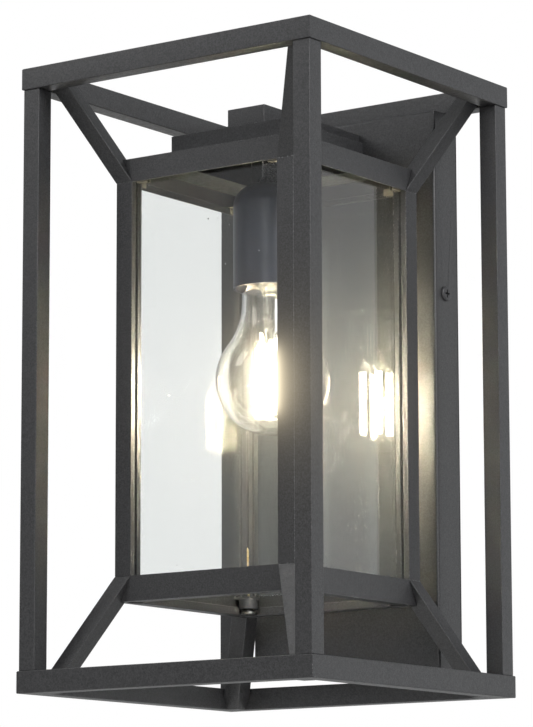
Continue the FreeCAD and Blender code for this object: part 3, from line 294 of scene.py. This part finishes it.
def corner_screw():
    """Yellow-passivated screws whose lower heads have dulled to grey."""
    look, tree, shader = new_look("yellow_zinc", metallic=1.0)
    patches = between(tree, noise(tree, 2.5 * MM, detail=3.0), 0.35, 0.65)
    yellow = blended(tree, patches, rgb(0.62, 0.46, 0.2), rgb(0.78, 0.68, 0.46))
    grey = blended(tree, patches, rgb(0.08, 0.08, 0.076), rgb(0.16, 0.16, 0.152))
    height = add(tree, "ShaderNodeSeparateXYZ", {0: place_of(tree)}).outputs["Z"]
    head = between(tree, height, HEAD_TOP + 0.5 * MM, HEAD_TOP)
    fine = noise(tree, 0.5 * MM, detail=3.0)
    feed(tree, shader, base_color=blended(tree, head, yellow, grey),
         roughness=between(tree, fine, 0.3, 0.7, 0.25, 0.42), normal=bumped(tree, fine, 0.02 * MM, 0.6))
    return look


def galvanised():
    """Zinc-dipped sheet with faint crystal spangle."""
    look, tree, shader = new_look("galvanised_steel", metallic=1.0)
    crystals = add(tree, "ShaderNodeTexVoronoi", {"Vector": place_of(tree), "Scale": 1 / (5 * MM)})
    shade = add(tree, "ShaderNodeSeparateColor", {"Color": crystals.outputs["Color"]}).outputs[0]
    tone = blended(tree, shade, rgb(0.46, 0.47, 0.49), rgb(0.66, 0.67, 0.68))
    fine = noise(tree, 0.8 * MM, detail=3.0)
    feed(tree, shader, base_color=tone, roughness=between(tree, shade, 0.0, 1.0, 0.3, 0.5),
         normal=bumped(tree, fine, 0.03 * MM, 0.5))
    return look


def plastic(name, dark, pale, rough, grain=0.8, depth=0.04):
    """A moulded or rubbery surface with a fine grain, both in millimetres."""
    look, tree, shader = new_look(name)
    tone = blended(tree, noise(tree, 8 * MM, detail=3.0), dark, pale)
    fine = noise(tree, grain * MM, detail=3.0)
    feed(tree, shader, base_color=tone, roughness=between(tree, fine, 0.3, 0.7, *rough),
         normal=bumped(tree, fine, depth * MM, 0.6))
    return look


def foam():
    """Closed-cell foam: small round cells under a matt black skin."""
    look, tree, shader = new_look("black_foam", specular_ior_level=0.25)
    cells = add(tree, "ShaderNodeTexVoronoi", {"Vector": place_of(tree), "Scale": 1 / (0.9 * MM)})
    tone = blended(tree, cells.outputs["Distance"], rgb(0.008, 0.008, 0.008), rgb(0.035, 0.035, 0.036))
    feed(tree, shader, base_color=tone,
         roughness=between(tree, noise(tree, 3 * MM), 0.3, 0.7, 0.8, 0.95),
         normal=bumped(tree, cells.outputs["Distance"], 0.25 * MM, 0.8))
    return look


def ceramic():
    """Glazed white porcelain with faint speckle."""
    look, tree, shader = new_look("white_ceramic", coat_weight=0.6, coat_roughness=0.08)
    specks = between(tree, noise(tree, 1.1 * MM, detail=4.0), 0.66, 0.72, 0.0, 0.5)
    tone = blended(tree, noise(tree, 12 * MM), rgb(0.74, 0.71, 0.64), rgb(0.83, 0.81, 0.76))
    tone = blended(tree, specks, tone, rgb(0.42, 0.38, 0.3))
    feed(tree, shader, base_color=tone,
         roughness=between(tree, noise(tree, 5 * MM), 0.3, 0.7, 0.25, 0.4),
         normal=bumped(tree, noise(tree, 2.5 * MM), 0.08 * MM, 0.5))
    return look


def tip_contact():
    """Dull solder in the middle and black insulator glass outside it."""
    look, tree, shader = new_look("solder")
    axis = (*LAMP_SPOT, 0)
    across = add(tree, "ShaderNodeVectorMath", {0: place_of(tree), 1: axis}, operation="SUBTRACT")
    flat = add(tree, "ShaderNodeVectorMath", {0: across.outputs[0], 1: (1, 1, 0)}, operation="MULTIPLY")
    length = add(tree, "ShaderNodeVectorMath", {0: flat.outputs[0]}, operation="LENGTH")
    radius = length.outputs["Value"]
    ring = between(tree, radius, SOLDER_RADIUS, SOLDER_RADIUS + 0.4 * MM)
    worn = noise(tree, 1.2 * MM, detail=4.0)
    solder = blended(tree, worn, rgb(0.42, 0.42, 0.41), rgb(0.66, 0.65, 0.63))
    tone = blended(tree, ring, solder, rgb(0.01, 0.01, 0.012))
    feed(tree, shader, base_color=tone, metallic=math_node(tree, "SUBTRACT", 1.0, ring),
         roughness=between(tree, worn, 0.3, 0.7, 0.25, 0.55),
         normal=bumped(tree, worn, 0.1 * MM, 0.6))
    return look


def lit_phosphor():
    """The glowing coating of a filament stick."""
    look, tree, shader = new_look("lit_filament", roughness=0.6, emission_strength=LAMP_STRENGTH)
    shader.inputs["Emission Color"].default_value = rgb(*LAMP_COLOUR)
    grains = noise(tree, 0.6 * MM, detail=3.0)
    feed(tree, shader, base_color=blended(tree, grains, rgb(0.9, 0.55, 0.12), rgb(1.0, 0.72, 0.25)),
         normal=bumped(tree, grains, 0.05 * MM, 0.5))
    return look


LOOKS = {
    "charcoal_powder": powder_coat(),
    "blue_black_enamel": enamel(),
    "clear_glass": pane_glass(),
    "bulb_clear_glass": bulb_glass(),
    "white_ceramic": ceramic(),
    "brass": metal("brass", rgb(0.56, 0.38, 0.15), rgb(0.78, 0.58, 0.28), (0.22, 0.38)),
    "zinc_plate": metal("zinc_plate", rgb(0.05, 0.05, 0.052), rgb(0.22, 0.22, 0.23),
                        (0.2, 0.34), patch=1.5),
    "yellow_zinc": corner_screw(),
    "cap_nickel": metal("cap_nickel", rgb(0.55, 0.54, 0.51), rgb(0.72, 0.71, 0.68), (0.2, 0.36)),
    "solder": tip_contact(),
    "lit_filament": lit_phosphor(),
    "tan_silicone": plastic("tan_silicone", rgb(0.12, 0.11, 0.09), rgb(0.2, 0.185, 0.15),
                            (0.4, 0.55)),
    "black_foam": foam(),
    "galvanised_steel": galvanised(),
    "black_screw": plastic("black_screw", rgb(0.02, 0.02, 0.022), rgb(0.045, 0.045, 0.048),
                           (0.35, 0.5), grain=0.5, depth=0.05),
    "green_screw": metal("green_screw", rgb(0.03, 0.2, 0.07), rgb(0.07, 0.34, 0.14),
                         (0.3, 0.45), patch=2.0),
    "black_insulation": plastic("black_insulation", rgb(0.012, 0.012, 0.012),
                                rgb(0.03, 0.03, 0.03), (0.35, 0.5)),
    "white_insulation": plastic("white_insulation", rgb(0.7, 0.7, 0.67),
                                rgb(0.82, 0.82, 0.8), (0.35, 0.5)),
    "bare_copper": metal("bare_copper", rgb(0.55, 0.25, 0.13), rgb(0.8, 0.45, 0.28), (0.25, 0.4)),
    "tan_plastic": plastic("tan_plastic", rgb(0.58, 0.36, 0.14), rgb(0.7, 0.47, 0.22), (0.4, 0.55)),
    "black_plastic": plastic("black_plastic", rgb(0.012, 0.012, 0.013),
                             rgb(0.03, 0.03, 0.031), (0.4, 0.6)),
}


# ---- finish of the frame's own nodes ---------------------------------------------------------

def long_edges(axis):
    """A node group that marks only the edges that run along one axis, for the bevel to take."""
    tree = bpy.data.node_groups.new(f"long_edges_{axis}", "GeometryNodeTree")
    tree.interface.new_socket("Geometry", in_out="INPUT", socket_type="NodeSocketGeometry")
    tree.interface.new_socket("Geometry", in_out="OUTPUT", socket_type="NodeSocketGeometry")
    way = {"x": (1, 0, 0), "y": (0, 1, 0)}[axis]
    ends = add(tree, "GeometryNodeInputMeshEdgeVertices")
    span = add(tree, "ShaderNodeVectorMath", {
        0: ends.outputs[2], 1: ends.outputs[3]}, operation="SUBTRACT")
    unit = add(tree, "ShaderNodeVectorMath", {0: span.outputs[0]}, operation="NORMALIZE")
    along = add(tree, "ShaderNodeVectorMath", {0: unit.outputs[0], 1: way}, operation="DOT_PRODUCT")
    size = add(tree, "ShaderNodeMath", {0: along.outputs["Value"]}, operation="ABSOLUTE")
    marked = add(tree, "ShaderNodeMath", {0: size.outputs[0], 1: 0.9999}, operation="GREATER_THAN")
    start = add(tree, "NodeGroupInput")
    stored = add(tree, "GeometryNodeStoreNamedAttribute", {
        "Geometry": start.outputs[0], "Name": "bevel_weight_edge", "Value": marked.outputs[0],
    }, data_type="FLOAT", domain="EDGE")
    finish = add(tree, "NodeGroupOutput")
    tree.links.new(stored.outputs[0], finish.inputs[0])
    return tree


LONG_EDGES = {axis: long_edges(axis) for axis in "xy"}


def soften(node, width, axis=None):
    """Round a node's edges by modifiers; with an axis, only the edges along it."""
    made = NODES[node]
    weld = made.modifiers.new("weld", "WELD")
    weld.merge_threshold = 0.002 * MM
    if axis:
        made.modifiers.new("long_edges", "NODES").node_group = LONG_EDGES[axis]
    bevel = made.modifiers.new("bevel", "BEVEL")
    bevel.width = width
    bevel.segments = 2
    bevel.limit_method = "WEIGHT" if axis else "ANGLE"
    bevel.angle_limit = math.radians(40)
    bevel.use_clamp_overlap = True
    normals = made.modifiers.new("normals", "WEIGHTED_NORMAL")
    normals.keep_sharp = False
    normals.weight = 50


def finish_nodes():
    """Give every node its material and every folded or sawn piece its rounded edges."""
    for node, made in NODES.items():
        look = LOOKS[SLOT_OF[node]]
        if not made.material_slots:
            made.data.materials.append(look)
        for holder in made.material_slots:
            holder.material = look
    for node in NODES:
        if node.startswith("cage_") and node.endswith("_rail"):
            soften(node, RAIL_EDGE * MM, "x" if "front" in node or "back" in node else "y")
        elif node.endswith("_post") or node.endswith("_strut"):
            soften(node, BAR_EDGE * MM)
        elif node.endswith("_pane"):
            soften(node, PANE_EDGE * MM)
    for node, width in SOFT_EDGES.items():
        soften(node, width * MM)


# ---- turned and threaded pieces ----------------------------------------------------------------

def lathe(mesh, spot, outline, segments=36, wave=None, closed=False):
    """Turn an outline of (radius, height) about an upright axis at spot, in metres.

    wave(radius, height, angle) gives the radius at an angle, which cuts threads and flutes.
    """
    rings = []
    for radius, height in outline:
        if radius <= 0:
            rings.append([mesh.verts.new((spot[0], spot[1], height))])
            continue
        ring = []
        for step in range(segments):
            angle = FULL_TURN * step / segments
            reach = wave(radius, height, angle) if wave else radius
            ring.append(mesh.verts.new((spot[0] + reach * math.cos(angle),
                                        spot[1] + reach * math.sin(angle), height)))
        rings.append(ring)
    pairs = list(zip(rings, rings[1:]))
    if closed:
        pairs.append((rings[-1], rings[0]))
    for low, high in pairs:
        for step in range(segments):
            turn = (step + 1) % segments
            corners = [low[step % len(low)], low[turn % len(low)],
                       high[turn % len(high)], high[step % len(high)]]
            unique = list(dict.fromkeys(corners))
            if len(unique) > 2:
                mesh.faces.new(unique)


def thread(crest, depth, pitch, low, high):
    """A right-hand thread cut into a cylinder of the crest's radius, run out at both ends."""
    def wave(radius, height, angle):
        if abs(radius - crest) > 1e-7 or not low < height < high:
            return radius
        turn = (height - low) / pitch - angle / FULL_TURN
        fade = min(1.0, (height - low) / pitch, (high - height) / pitch)
        return radius - depth * fade * (0.5 - 0.5 * math.cos(FULL_TURN * turn))
    return wave


def steps(low, high, pitch, per_turn=10):
    """Heights through a threaded stretch."""
    count = max(2, round((high - low) / pitch * per_turn))
    return [low + (high - low) * step / count for step in range(count + 1)]


def piece(name, mesh, look, body, replaced=(), smooth=math.radians(35)):
    """Turn a bmesh into a finished piece that rides on a body."""
    bmesh.ops.recalc_face_normals(mesh, faces=mesh.faces)
    data = bpy.data.meshes.new(name)
    mesh.to_mesh(data)
    mesh.free()
    data.materials.append(LOOKS[look])
    for face in data.polygons:
        face.use_smooth = True
    data.set_sharp_from_angle(angle=smooth)
    made = bpy.data.objects.new(name, data)
    bpy.context.scene.collection.objects.link(made)
    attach(made, body)
    if replaced:
        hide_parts(*replaced)
    return made


def merge(target, source):
    """Copy one bmesh into another and free it."""
    data = bpy.data.meshes.new("part")
    source.to_mesh(data)
    source.free()
    target.from_mesh(data)
    bpy.data.meshes.remove(data)


def cross_cut(mesh, spot, top, depth, length, width):
    """Sink a cross recess of two slots into the flat end of a bmesh at height top."""
    data = bpy.data.meshes.new("blank")
    mesh.to_mesh(data)
    mesh.free()
    blank = bpy.data.objects.new("blank", data)
    cutter_mesh = bmesh.new()
    for across, along in ((length, width), (width, length)):
        size = Matrix.Diagonal((across, along, depth * 2, 1))
        where = Matrix.Translation((spot[0], spot[1], top))
        bmesh.ops.create_cube(cutter_mesh, size=1, matrix=where @ size)
    cutter_data = bpy.data.meshes.new("cutter")
    cutter_mesh.to_mesh(cutter_data)
    cutter_mesh.free()
    cutter = bpy.data.objects.new("cutter", cutter_data)
    for made in (blank, cutter):
        bpy.context.scene.collection.objects.link(made)
    cut = blank.modifiers.new("cut", "BOOLEAN")
    cut.object = cutter
    cut.operation = "DIFFERENCE"
    cut.solver = "EXACT"
    cut.use_self = True
    graph = bpy.context.evaluated_depsgraph_get()
    result = bmesh.new()
    result.from_mesh(blank.evaluated_get(graph).to_mesh())
    for made in (blank, cutter):
        bpy.data.objects.remove(made)
    return result


def corner_spots():
    """The four corner screw axes, a head's radius in from the lower screws' box."""
    low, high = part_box("tray_screws")
    return [(x, y) for x in (low.x + HEAD_RADIUS, high.x - HEAD_RADIUS)
            for y in (low.y + HEAD_RADIUS, high.y - HEAD_RADIUS)]


def screw_shank(mesh, spot, outline, threads):
    """Turn one threaded screw into a bmesh and face it outwards."""
    wave = thread(SCREW_RADIUS, SCREW_CUT, SCREW_PITCH, threads[0], threads[-1])
    lathe(mesh, spot, outline, 20, wave)
    bmesh.ops.recalc_face_normals(mesh, faces=mesh.faces)


def tray_screws():
    """Long pointed screws with flared cross-recessed heads, one up each corner post."""
    low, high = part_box("tray_screws")
    low, high = low.z, high.z
    neck = low + HEAD_HEIGHT
    chamfer, rim_top, neck_radius = 0.5 * MM, 0.8 * MM, 2.9 * MM
    plain, point, point_radius = 2.2 * MM, 3.2 * MM, 0.75 * MM
    recess, slot_length, slot_width = 1.6 * MM, 5.0 * MM, 1.1 * MM
    threads = steps(neck + plain, high - point, SCREW_PITCH)
    outline = [(0, low), (HEAD_RADIUS - chamfer, low), (HEAD_RADIUS, low + rim_top / 2),
               (HEAD_RADIUS, low + rim_top), (neck_radius, neck), (SCREW_RADIUS, neck)]
    outline += [(SCREW_RADIUS, height) for height in threads]
    outline += [(point_radius, high - 1.4 * MM), (0, high)]
    all_screws = bmesh.new()
    for spot in corner_spots():
        mesh = bmesh.new()
        screw_shank(mesh, spot, outline, threads)
        merge(all_screws, cross_cut(mesh, spot, low, recess, slot_length, slot_width))
    return piece("tray_screws_threaded", all_screws, "yellow_zinc", "root", ["tray_screws"])


def hood_screws():
    """Short cross-recessed screws down into the tops of the corner posts."""
    low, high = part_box("hood_screws")
    low, high = low.z, high.z
    pan_height, pan_radius = 2.0 * MM, 2.9 * MM
    seat = high - pan_height
    recess, slot_length, slot_width = 1.1 * MM, 3.4 * MM, 0.9 * MM
    threads = steps(low + 1.6 * MM, seat - 1.5 * MM, SCREW_PITCH)
    outline = [(0, low), (0.7 * MM, low + 0.2 * MM)]
    outline += [(SCREW_RADIUS, height) for height in threads]
    outline += [(SCREW_RADIUS, seat), (pan_radius, seat), (pan_radius, seat + 0.9 * MM),
                (pan_radius - 0.6 * MM, high - 0.2 * MM), (1.6 * MM, high), (0, high)]
    all_screws = bmesh.new()
    for spot in corner_spots():
        mesh = bmesh.new()
        screw_shank(mesh, spot, outline, threads)
        merge(all_screws, cross_cut(mesh, spot, high, recess, slot_length, slot_width))
    return piece("hood_screws_threaded", all_screws, "yellow_zinc", "root", ["hood_screws"])


def lamp_nipple():
    """The nipple's fine pipe thread, with its bore."""
    low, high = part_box("threaded_nipple")
    radius, bore = (high.x - low.x) / 2, 3.7 * MM
    pitch, depth, lead, chamfer = 0.94 * MM, 0.45 * MM, 0.5 * MM, 0.4 * MM
    mesh = bmesh.new()
    threads = steps(low.z + lead, high.z - lead, pitch, 8)
    outline = [(bore, low.z), (radius - chamfer, low.z)]
    outline += [(radius, height) for height in threads]
    outline += [(radius - chamfer, high.z), (bore, high.z)]
    wave = thread(radius, depth, pitch, threads[0], threads[-1])
    lathe(mesh, LAMP_SPOT, outline, 36, wave, closed=True)
    return piece("nipple_thread", mesh, "zinc_plate", "root", ["threaded_nipple"])


def screw_shell():
    """The brass shell inside the holder, rolled to the bulb's thread."""
    low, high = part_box("screw_shell")
    radius, wall, depth = (high.x - low.x) / 2, 0.35 * MM, 0.55 * MM
    mesh = bmesh.new()
    rows = steps(low.z, high.z, CAP_PITCH, 12)
    outline = [(radius, height) for height in rows]
    outline += [(radius - wall, height) for height in reversed(rows)]
    outer = thread(radius, depth, CAP_PITCH, rows[0], rows[-1])
    inner = thread(radius - wall, depth, CAP_PITCH, rows[0], rows[-1])

    def wave(reach, height, angle):
        side = outer if reach > radius - wall / 2 else inner
        return side(reach, height, angle)

    lathe(mesh, LAMP_SPOT, outline, 64, wave, closed=True)
    return piece("screw_shell_rolled", mesh, "brass", "root", ["screw_shell"])


def bulb_cap():
    """The bulb's nickel cap with a true rolled thread, dished end and crimped edge."""
    low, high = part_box("bulb_cap")
    dish = 1.0 * MM
    crest, low, high = (high.x - low.x) / 2, low.z, high.z - dish
    wall, depth, ring = 0.4 * MM, 0.9 * MM, 9.4 * MM
    inside = crest - depth - wall
    rows = steps(low + 1.5 * MM, high - 2.0 * MM, CAP_PITCH, 14)
    # Up the crimped edge and the thread, over the shoulder and the dished end, and down the inside.
    outline = [(crest - wall, low), (crest - 0.15 * MM, low), (crest, low + 0.3 * MM)]
    outline += [(crest, height) for height in rows]
    outline += [(crest - 0.5 * MM, high - 1.0 * MM), (crest - 1.6 * MM, high)]
    outline += [(ring + 0.8 * MM, high + 0.85 * MM), (ring, high + dish), (ring, high + 0.6 * MM)]
    outline += [(crest - 2.0 * MM, high - 1.6 * MM), (inside, high - 2.4 * MM),
                (inside, low + 2.0 * MM), (crest - wall - 0.1 * MM, low + 1.4 * MM)]
    wave = thread(crest, depth, CAP_PITCH, rows[0], rows[-1])
    mesh = bmesh.new()
    lathe(mesh, LAMP_SPOT, outline, 72, wave, closed=True)
    return piece("bulb_cap_rolled", mesh, "cap_nickel", "bulb", ["bulb_cap"], math.radians(50))


def filament_spots():
    """The filament sticks' upright axes."""
    for number in range(FILAMENTS):
        angle = math.radians(45 + 360 / FILAMENTS * number)
        yield (LAMP_X + FILAMENT_RING * math.cos(angle),
               LAMP_Y + FILAMENT_RING * math.sin(angle))


def wire(mesh, points, radius):
    """A round wire through points, in a bmesh."""
    curve = bpy.data.curves.new("wire", "CURVE")
    curve.dimensions = "3D"
    curve.bevel_depth = radius
    curve.bevel_resolution = 2
    curve.use_fill_caps = True
    spline = curve.splines.new("NURBS")
    spline.points.add(len(points) - 1)
    for target, point in zip(spline.points, points):
        target.co = (*point, 1)
    spline.order_u = 3
    spline.use_endpoint_u = True
    made = bpy.data.objects.new("wire", curve)
    bpy.context.scene.collection.objects.link(made)
    graph = bpy.context.evaluated_depsgraph_get()
    mesh.from_mesh(made.evaluated_get(graph).to_mesh())
    bpy.data.objects.remove(made)


def filaments():
    """Four glowing sticks with metal end caps, on wires that meet above and below."""
    low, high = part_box("bulb_filaments")
    mast_top = high.z
    under, cap, lead, link = 3.0 * MM, 0.6 * MM, 1.6 * MM, 2.2 * MM
    radius, cap_radius = FILAMENT_RADIUS, FILAMENT_RADIUS * 1.12
    link_wire, mast_wire, bead = 0.28 * MM, 0.45 * MM, 0.9 * MM
    top = low.z + FILAMENT_LENGTH + under
    foot = top - FILAMENT_LENGTH
    sticks, ends, wires = bmesh.new(), bmesh.new(), bmesh.new()
    for spot in filament_spots():
        lathe(sticks, spot, [
            (0, foot), (radius * 0.7, foot + 0.1 * MM), (radius, foot + 0.5 * MM),
            (radius, top - 0.5 * MM), (radius * 0.7, top - 0.1 * MM), (0, top)], 16)
        for end, sign in ((foot, -1), (top, 1)):
            lathe(ends, spot, [(0, end - cap), (cap_radius, end - cap),
                               (cap_radius, end + cap), (0, end + cap)], 14)
            level = end + link * sign
            bend = tuple(a * 0.8 + b * 0.2 for a, b in zip(spot, LAMP_SPOT))
            wire(wires, [(*spot, end), (*spot, end + lead * sign), (*spot, level),
                         (*bend, level), (*LAMP_SPOT, level)], link_wire)
    for level in (foot - link, top + link):
        lathe(wires, LAMP_SPOT, [
            (0, level - 0.8 * MM), (0.7 * MM, level - 0.6 * MM), (bead, level),
            (0.7 * MM, level + 0.6 * MM), (0, level + 0.8 * MM)], 16)
    wire(wires, [(*LAMP_SPOT, top + link), (*LAMP_SPOT, (top + mast_top) / 2),
                 (*LAMP_SPOT, mast_top)], mast_wire)
    piece("filament_sticks", sticks, "lit_filament", "bulb", ["bulb_filaments"])
    piece("filament_ends", ends, "cap_nickel", "bulb")
    piece("filament_wires", wires, "cap_nickel", "bulb")


def wire_connectors():
    """Two ribbed twist-on wire connectors."""
    low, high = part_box("wire_connectors")
    narrow, wide, bore, bore_depth = 2.8 * MM, 4.6 * MM, 1.3 * MM, 4 * MM
    ribs, rib_height, ribbed_from, ribbed_to = 14, 0.05, 0.1, 0.78
    y = (low.y + high.y) / 2
    span = high.z - low.z

    def flute(radius, height, angle):
        share = (height - low.z) / (high.z - low.z)
        ribbed = ribbed_from < share < ribbed_to
        return radius * (1 + rib_height * math.cos(ribs * angle) * ribbed)

    outline = [(0, low.z), (narrow * 0.8, low.z), (narrow, low.z + 0.05 * span)]
    outline += [(narrow + (wide - narrow) * part, low.z + span * part)
                for part in (0.11, 0.2, 0.35, 0.5, 0.65, 0.77)]
    outline += [(wide * 0.97, low.z + span * 0.8), (wide, low.z + span * 0.86),
                (wide, high.z - 0.3 * MM), (wide - 0.5 * MM, high.z), (bore, high.z),
                (bore, high.z - bore_depth), (0, high.z - bore_depth)]
    mesh = bmesh.new()
    for x in (low.x + wide, high.x - wide):
        lathe(mesh, (x, y), outline, 56, flute)
    return piece("wire_connectors_ribbed", mesh, "tan_plastic", "root", ["wire_connectors"])


# ---- studio --------------------------------------------------------------------------------

def seen_straight(tree):
    """1 for what is seen directly or through glass, 0 for what only lights or reflects."""
    path = add(tree, "ShaderNodeLightPath")
    bounces = math_node(tree, "ADD", path.outputs["Diffuse Depth"], path.outputs["Glossy Depth"])
    straight = math_node(tree, "LESS_THAN", bounces, 0.5)
    through = math_node(tree, "MULTIPLY", path.outputs["Is Transmission Ray"], straight)
    return math_node(tree, "MAXIMUM", path.outputs["Is Camera Ray"], through)


def studio_floor():
    """A plain pale disc well below the lantern."""
    mesh = bmesh.new()
    lathe(mesh, (0, 0), [(0, FLOOR_Z), (0.5, FLOOR_Z), (1.5, FLOOR_Z), (4.0, FLOOR_Z)], 64)
    data = bpy.data.meshes.new("studio_floor")
    mesh.to_mesh(data)
    mesh.free()
    look, tree, shader = new_look("floor_paint", roughness=0.8)
    shader.inputs["Emission Color"].default_value = rgb(1, 1, 1)
    tone = blended(tree, noise(tree, 0.3), rgb(0.8, 0.8, 0.79), rgb(0.84, 0.84, 0.83))
    lift = math_node(tree, "MULTIPLY", seen_straight(tree), FLOOR_LIFT)
    feed(tree, shader, base_color=tone, emission_strength=lift)
    data.materials.append(look)
    floor = bpy.data.objects.new("studio_floor", data)
    bpy.context.scene.collection.objects.link(floor)


def studio_world():
    """White behind the lantern, and a softer grey room for what it reflects."""
    world = bpy.data.worlds.new("studio")
    bpy.context.scene.world = world
    world.use_nodes = True
    tree = world.node_tree
    tree.nodes.clear()
    way = add(tree, "ShaderNodeTexCoord").outputs["Generated"]
    parts = add(tree, "ShaderNodeSeparateXYZ", {0: way})
    side = between(tree, parts.outputs["X"], -1.0, 1.0, ROOM_LEFT, ROOM_RIGHT)
    rise = between(tree, parts.outputs["Z"], -0.1, 0.6, 1.0, ROOM_TOP)
    depth = between(tree, parts.outputs["Y"], -0.5, 0.5, 1.0, ROOM_BACK)
    strength = math_node(tree, "MULTIPLY", math_node(tree, "MULTIPLY", side, rise), depth)
    room = add(tree, "ShaderNodeBackground", {"Color": rgb(0.97, 0.985, 1.0), "Strength": strength})
    white = add(tree, "ShaderNodeBackground", {"Color": rgb(1, 1, 1), "Strength": 1.0})
    mixed = add(tree, "ShaderNodeMixShader", {
        0: seen_straight(tree), 1: room.outputs[0], 2: white.outputs[0]})
    out = add(tree, "ShaderNodeOutputWorld")
    tree.links.new(mixed.outputs[0], out.inputs["Surface"])


def softbox(name, place, aim, size, power, colour):
    """One large soft area light aimed at a point."""
    data = bpy.data.lights.new(name, "AREA")
    data.color = colour
    data.shape = "RECTANGLE"
    data.size, data.size_y = size
    data.energy = power
    made = bpy.data.objects.new(name, data)
    made.location = place
    made.rotation_euler = (Vector(aim) - Vector(place)).to_track_quat("-Z", "Y").to_euler()
    made.visible_camera = False
    bpy.context.scene.collection.objects.link(made)


def studio_camera():
    """A long lens from the front right, a little below the lantern, looking up."""
    data = bpy.data.cameras.new("camera")
    data.lens = CAMERA_LENS
    data.sensor_width = 36.0
    camera = bpy.data.objects.new("camera", data)
    turn = Matrix.Rotation(CAMERA_YAW, 4, "Z") @ Matrix.Rotation(math.pi / 2 + CAMERA_PITCH, 4, "X")
    turn = turn @ Matrix.Rotation(CAMERA_ROLL, 4, "Z")
    camera.matrix_world = Matrix.Translation(CAMERA_PLACE) @ turn
    bpy.context.scene.collection.objects.link(camera)
    bpy.context.scene.camera = camera


def lens_glow():
    """The soft bloom that a lit bulb leaves in a camera lens."""
    scene = bpy.context.scene
    scene.use_nodes = True
    tree = scene.node_tree
    tree.nodes.clear()
    picture = add(tree, "CompositorNodeRLayers")
    glow = add(tree, "CompositorNodeGlare")
    glow.glare_type = "BLOOM"
    glow.quality = "HIGH"
    glow.inputs["Threshold"].default_value = 3.0
    glow.inputs["Strength"].default_value = 0.09
    glow.inputs["Size"].default_value = 0.3
    out = add(tree, "CompositorNodeComposite")
    tree.links.new(picture.outputs["Image"], glow.inputs["Image"])
    tree.links.new(glow.outputs["Image"], out.inputs["Image"])


def studio():
    """Floor, world, lights, camera and how the picture is shown."""
    studio_floor()
    studio_world()
    for light in LIGHTS:
        softbox(*light)
    studio_camera()
    lens_glow()
    shown = bpy.context.scene.view_settings
    shown.view_transform = "Standard"
    shown.look = "None"
    cycles = bpy.context.scene.cycles
    cycles.transparent_max_bounces = BOUNCES
    cycles.max_bounces = BOUNCES
    cycles.transmission_bounces = BOUNCES
    cycles.sample_clamp_indirect = LIT_CLAMP


# ---- making ----------------------------------------------------------------------------------

studio()
finish_nodes()
tray_screws()
hood_screws()
lamp_nipple()
screw_shell()
bulb_cap()
filaments()
wire_connectors()
